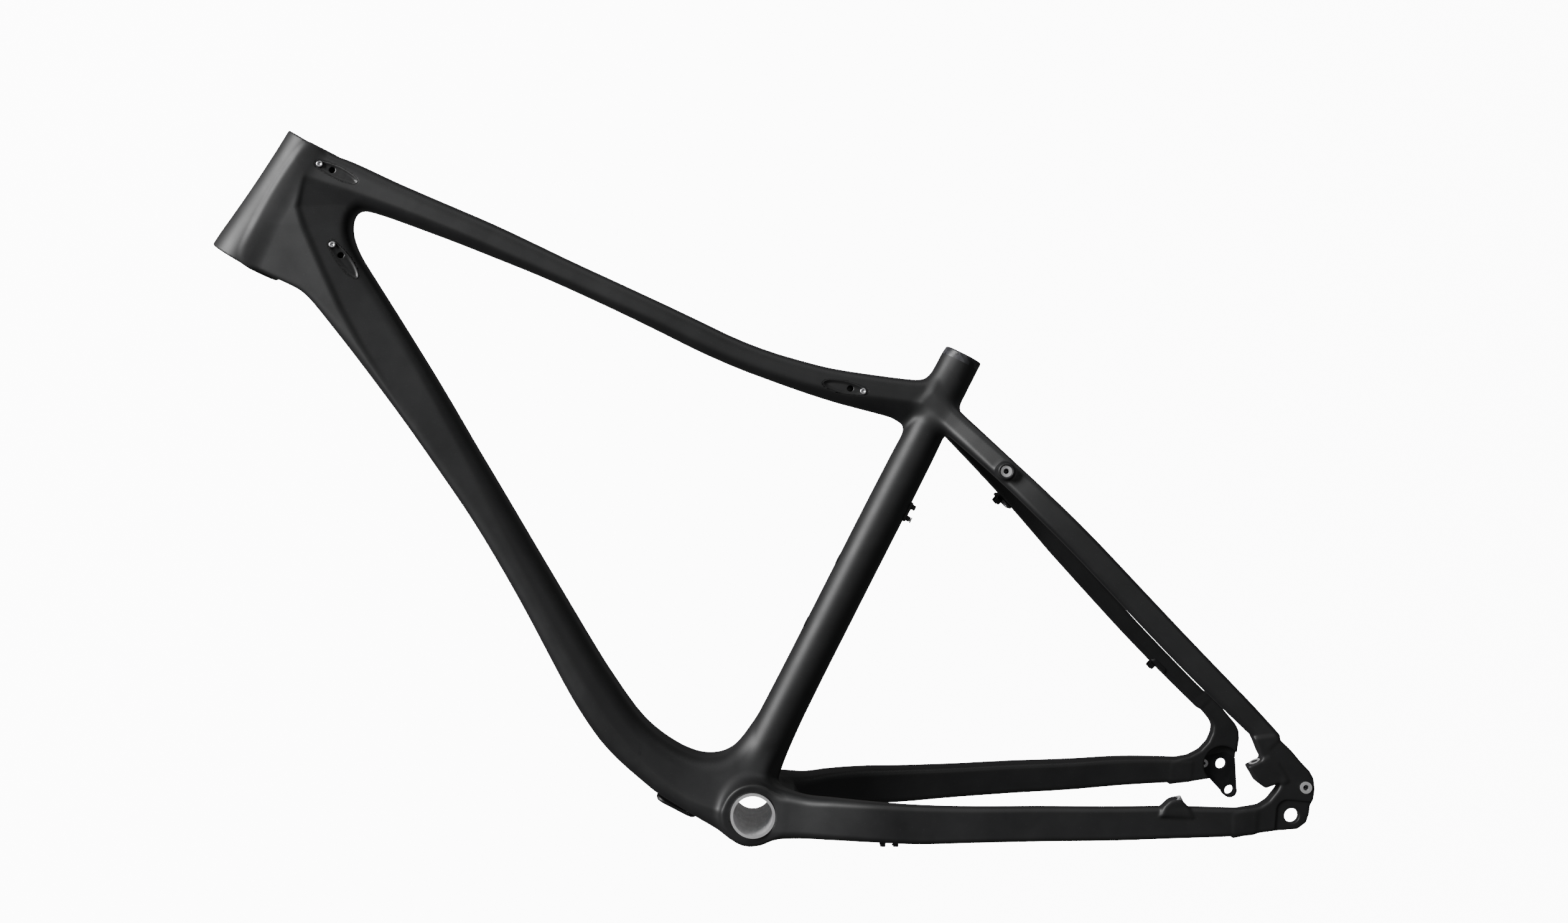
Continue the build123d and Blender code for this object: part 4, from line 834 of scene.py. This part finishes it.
low, high = (np.array(c) * 1000 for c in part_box("chainstay_cable_guide"))
stayFoot = np.array([(low[0] + high[0]) / 2, (low[1] + high[1]) / 2, high[2] + 1.0])
stayAlong = np.array([0.996, 0.0, 0.09])
for name, foot, along, away in (
        ("seat_tube_cable_guide", guideFoot, seatAxis, guideAway),
        ("chainstay_cable_guide", stayFoot, stayAlong, np.array([0.09, 0.0, -0.996]))):
    addFitting(name + "_clip", lambda x, y, z: guideField(foot, along, away, x, y, z),
               foot - 14, foot + 14, 0.5, "black_nylon", name)


# Shader maths: sockets joined by ordinary operators
class Value:
    def __init__(self, surface, socket):
        self.surface, self.socket = surface, socket

    def math(self, operation, first, second):
        return self.surface.node("ShaderNodeMath", {"operation": operation}, {0: first, 1: second})

    def __add__(self, other):
        return self.math("ADD", self, other)

    def __radd__(self, other):
        return self.math("ADD", other, self)

    def __sub__(self, other):
        return self.math("SUBTRACT", self, other)

    def __rsub__(self, other):
        return self.math("SUBTRACT", other, self)

    def __mul__(self, other):
        return self.math("MULTIPLY", self, other)

    def __rmul__(self, other):
        return self.math("MULTIPLY", other, self)

    def limited(self, low=0.0, high=1.0):
        return self.math("MINIMUM", self.math("MAXIMUM", self, low), high)

    def ramp(self, low, high):
        # Nought below the low value, one above the high one
        return ((self - low) * (1.0 / (high - low))).limited()


class Surface:
    # A material on the Principled shader, read in object coordinates
    def __init__(self, name):
        self.material = bpy.data.materials.new(name)
        self.material.use_nodes = True
        self.tree = self.material.node_tree
        self.shader = self.tree.nodes["Principled BSDF"]
        self.place = self.node("ShaderNodeTexCoord", out="Object")

    def node(self, kind, settings=None, inputs=None, out=0):
        # A node of any type: its settings, then the value or link of each socket
        node = self.tree.nodes.new(kind)
        for key, setting in (settings or {}).items():
            setattr(node, key, setting)
        for key, item in (inputs or {}).items():
            if isinstance(item, Value):
                self.tree.links.new(item.socket, node.inputs[key])
            else:
                node.inputs[key].default_value = item
        return Value(self, node.outputs[out])

    def moved(self, stretch=(1, 1, 1), move=(0, 0, 0), turn=(0, 0, 0)):
        return self.node("ShaderNodeMapping", inputs={
            "Vector": self.place, "Location": move, "Rotation": turn, "Scale": stretch})

    def noise(self, scale, detail=3.0, rough=0.5, distortion=0.0, **place):
        return self.node("ShaderNodeTexNoise", inputs={
            "Vector": self.moved(**place), "Scale": scale, "Detail": detail, "Roughness": rough,
            "Distortion": distortion})

    def flakes(self, scale, stretch, turn):
        # One even value per cell
        place = self.moved(stretch, turn=turn)
        cells = self.node("ShaderNodeTexVoronoi", inputs={"Vector": place, "Scale": scale}, out="Color")
        return self.node("ShaderNodeSeparateColor", inputs={0: cells})

    def along(self, point, axis):
        # Distance along an axis from a point, in metres
        inputs = {0: self.place, 1: tuple(float(a) for a in axis)}
        return self.node("ShaderNodeVectorMath", {"operation": "DOT_PRODUCT"}, inputs, "Value") \
            - float(np.dot(point, axis))

    def blend(self, amount, first, second):
        # Colour between two
        first, second = (c if isinstance(c, Value) else (*c, 1.0) for c in (first, second))
        return self.node("ShaderNodeMix", {"data_type": "RGBA"}, {0: amount, 6: first, 7: second}, 2)

    def link(self, value, name):
        self.tree.links.new(value.socket, self.shader.inputs[name])

    def colour(self, value):
        self.link(value, "Base Color")

    def roughness(self, value):
        self.link(value.limited(0.05, 0.98), "Roughness")

    def bump(self, height, depth, strength):
        self.link(self.node("ShaderNodeBump", inputs={
            "Strength": strength, "Distance": depth, "Height": height}), "Normal")


# Satin carbon: fine grain of the clear coat, faint clouds of the layers below, a few light specks
carbonLook = {"dark": (0.0075, 0.0075, 0.008), "light": (0.0155, 0.0155, 0.0162), "roughness": 0.50,
              "bandDark": (0.006, 0.006, 0.007), "bandLight": (0.05, 0.05, 0.055), "band": 7.5,
              "grainDepth": 0.00003, "specular": 0.42}
surface = Surface("satin_carbon")
cloud = surface.noise(9.0, 4.0, 0.55, 0.6)
patch = surface.noise(42.0, 3.0, 0.6, 0.3, move=(3.1, 1.7, 0.4))
grain = surface.noise(2600.0, 2.0, 0.6)
speck = surface.noise(900.0, 1.0, 0.5, move=(7.0, 2.0, 5.0)).ramp(0.70, 0.76)
flake = surface.flakes(210.0, (1.0, 1.0, 0.45), (0.2, 0.5, 0.1))
bandFoot = -carbonLook["band"] * mm
band = surface.along(seatTop * mm, seatAxis).ramp(bandFoot, bandFoot + 0.25 * mm)
tone = (cloud.ramp(0.3, 0.72) * 0.65 + patch.ramp(0.3, 0.7) * 0.35).limited()
plain = surface.blend(tone, carbonLook["dark"], carbonLook["light"])
plain = surface.blend(speck * 0.5, plain, (0.03, 0.03, 0.031))
forged = surface.blend(flake.ramp(0.1, 0.9), carbonLook["bandDark"], carbonLook["bandLight"])
surface.colour(surface.blend(band, plain, forged))
surface.roughness((cloud - 0.5) * 0.16 + (patch - 0.5) * 0.12 + (grain - 0.5) * 0.06
                  + carbonLook["roughness"] - band * 0.2)
surface.bump(grain * 0.6 + patch * 0.4, carbonLook["grainDepth"], 0.6)
surface.shader.inputs["Specular IOR Level"].default_value = carbonLook["specular"]
carbon = surface.material


def metalMaterial(name, look):
    # Turned or anodised metal: fine turning marks, dull patches, a few dark specks
    surface = Surface(name)
    marks = surface.noise(700.0, 3.0, 0.6, stretch=(0.25, 4.0, 0.25))
    patch = surface.noise(60.0, 4.0, 0.6, 0.4, move=(1.3, 4.2, 0.7))
    speck = surface.noise(1400.0, 1.0, 0.5, move=(5.0, 1.0, 2.0)).ramp(0.72, 0.78)
    colour = surface.blend(patch.ramp(0.3, 0.7), look["dark"], look["light"])
    surface.colour(surface.blend(speck * look["specks"], colour, (0.03, 0.03, 0.03)))
    surface.roughness((marks - 0.5) * 0.25 + (patch - 0.5) * 0.2 + look["roughness"])
    surface.bump(marks, 0.00003, look["relief"])
    surface.shader.inputs["Metallic"].default_value = look["metallic"]
    return surface.material


aluminium = metalMaterial("bare_aluminium", {"dark": (0.74, 0.74, 0.75), "light": (0.9, 0.9, 0.9),
                                             "specks": 0.25, "roughness": 0.42, "relief": 0.5, "metallic": 0.7})
anodised = metalMaterial("black_anodised", {"dark": (0.010, 0.010, 0.011),
                                            "light": (0.022, 0.022, 0.024), "specks": 0.3,
                                            "roughness": 0.4, "relief": 0.4, "metallic": 0.6})
steel = metalMaterial("zinc_steel", {"dark": (0.52, 0.52, 0.54), "light": (0.74, 0.74, 0.75),
                                     "specks": 0.4, "roughness": 0.32, "relief": 0.4, "metallic": 1.0})
# Moulded nylon: fine stipple and faint flow clouds
nylonLook = {"dark": (0.0035, 0.0035, 0.004), "light": (0.009, 0.009, 0.0095), "roughness": 0.46}
surface = Surface("black_nylon")
flow = surface.noise(55.0, 3.0, 0.5, 1.2)
stipple = surface.noise(3200.0, 2.0, 0.6)
surface.colour(surface.blend(flow.ramp(0.3, 0.7), nylonLook["dark"], nylonLook["light"]))
surface.roughness((flow - 0.5) * 0.2 + (stipple - 0.5) * 0.15 + nylonLook["roughness"])
surface.bump(stipple, 0.00004, 0.7)
nylon = surface.material
slotMaterials = {"satin_carbon": carbon, "bare_aluminium": aluminium, "black_anodised": anodised,
                 "zinc_steel": steel, "black_nylon": nylon}
slotOf = {s["node"]: s["material_slot"] for s in record["subparts"]}
for name, node in frame["nodes"].items():
    node.data.materials.clear()
    node.data.materials.append(slotMaterials[slotOf[name]])
for piece in mouldings:
    piece.data.materials.append(carbon)
for piece, slot in fittings:
    piece.data.materials.append(slotMaterials[slot])

# Floor that curves up into a backdrop, both pale, and the lights
print("studio")
studio = {"drop": 450.0, "front": -2.5, "back": 0.7, "bend": 0.9, "height": 2.6, "half": 2.4,
          "paper": 0.85, "glow": 11.0, "world": 0.11}
floorHeight = cadLow[2] - studio["drop"] * mm
turn = np.linspace(0.0, math.pi / 2, 25)
profile = [(studio["front"], floorHeight)]
profile += [(studio["back"] + studio["bend"] * math.sin(t), floorHeight + studio["bend"] * (1 - math.cos(t)))
            for t in turn]
profile += [(studio["back"] + studio["bend"], studio["height"])]
verts = [(side * studio["half"], y, z) for y, z in profile for side in (-1, 1)]
faces = [(2 * i, 2 * i + 1, 2 * i + 3, 2 * i + 2) for i in range(len(profile) - 1)]
mesh = bpy.data.meshes.new("floor")
mesh.from_pydata(verts, [], faces)
mesh.polygons.foreach_set("use_smooth", np.ones(len(faces), bool))
floor = bpy.data.objects.new("floor", mesh)
bpy.context.scene.collection.objects.link(floor)
for name, glow in (("floor_paper", 0.0), ("wall_paper", studio["glow"])):
    paper = bpy.data.materials.new(name)
    paper.use_nodes = True
    shader = paper.node_tree.nodes["Principled BSDF"]
    shader.inputs["Base Color"].default_value = (studio["paper"],) * 3 + (1.0,)
    shader.inputs["Roughness"].default_value = 0.95
    shader.inputs["Specular IOR Level"].default_value = 0.0
    shader.inputs["Emission Color"].default_value = (1.0, 1.0, 1.0, 1.0)
    shader.inputs["Emission Strength"].default_value = glow
    floor.data.materials.append(paper)
mesh.polygons.foreach_set("material_index", np.array([0] + [1] * (len(faces) - 1), np.int32))
floor.visible_diffuse = False
floor.visible_glossy = False


def areaLight(name, place, target, size, power):
    data = bpy.data.lights.new(name, "AREA")
    data.shape = "RECTANGLE"
    data.size, data.size_y = size
    data.energy = power
    light = bpy.data.objects.new(name, data)
    bpy.context.scene.collection.objects.link(light)
    light.location = place
    light.rotation_mode = "QUATERNION"
    light.rotation_quaternion = (Vector(target) - Vector(place)).to_track_quat("-Z", "Y")


# Place, aim, size and power of each, in metres and watts
lights = {"key": ((-2.4, -1.3, 1.2), (-0.2, 0.0, 0.3), (1.3, 1.6), 170),
          "fill": ((0.5, -1.9, 0.9), (0.0, 0.0, 0.2), (0.9, 0.9), 3),
          "top": ((0.2, -0.5, 2.6), (0.0, 0.0, 0.3), (2.4, 1.0), 12)}
for name, values in lights.items():
    areaLight(name, *values)
world = bpy.data.worlds.new("studio")
world.use_nodes = True
world.node_tree.nodes["Background"].inputs["Color"].default_value = (1.0, 1.0, 1.0, 1.0)
world.node_tree.nodes["Background"].inputs["Strength"].default_value = studio["world"]
bpy.context.scene.world = world
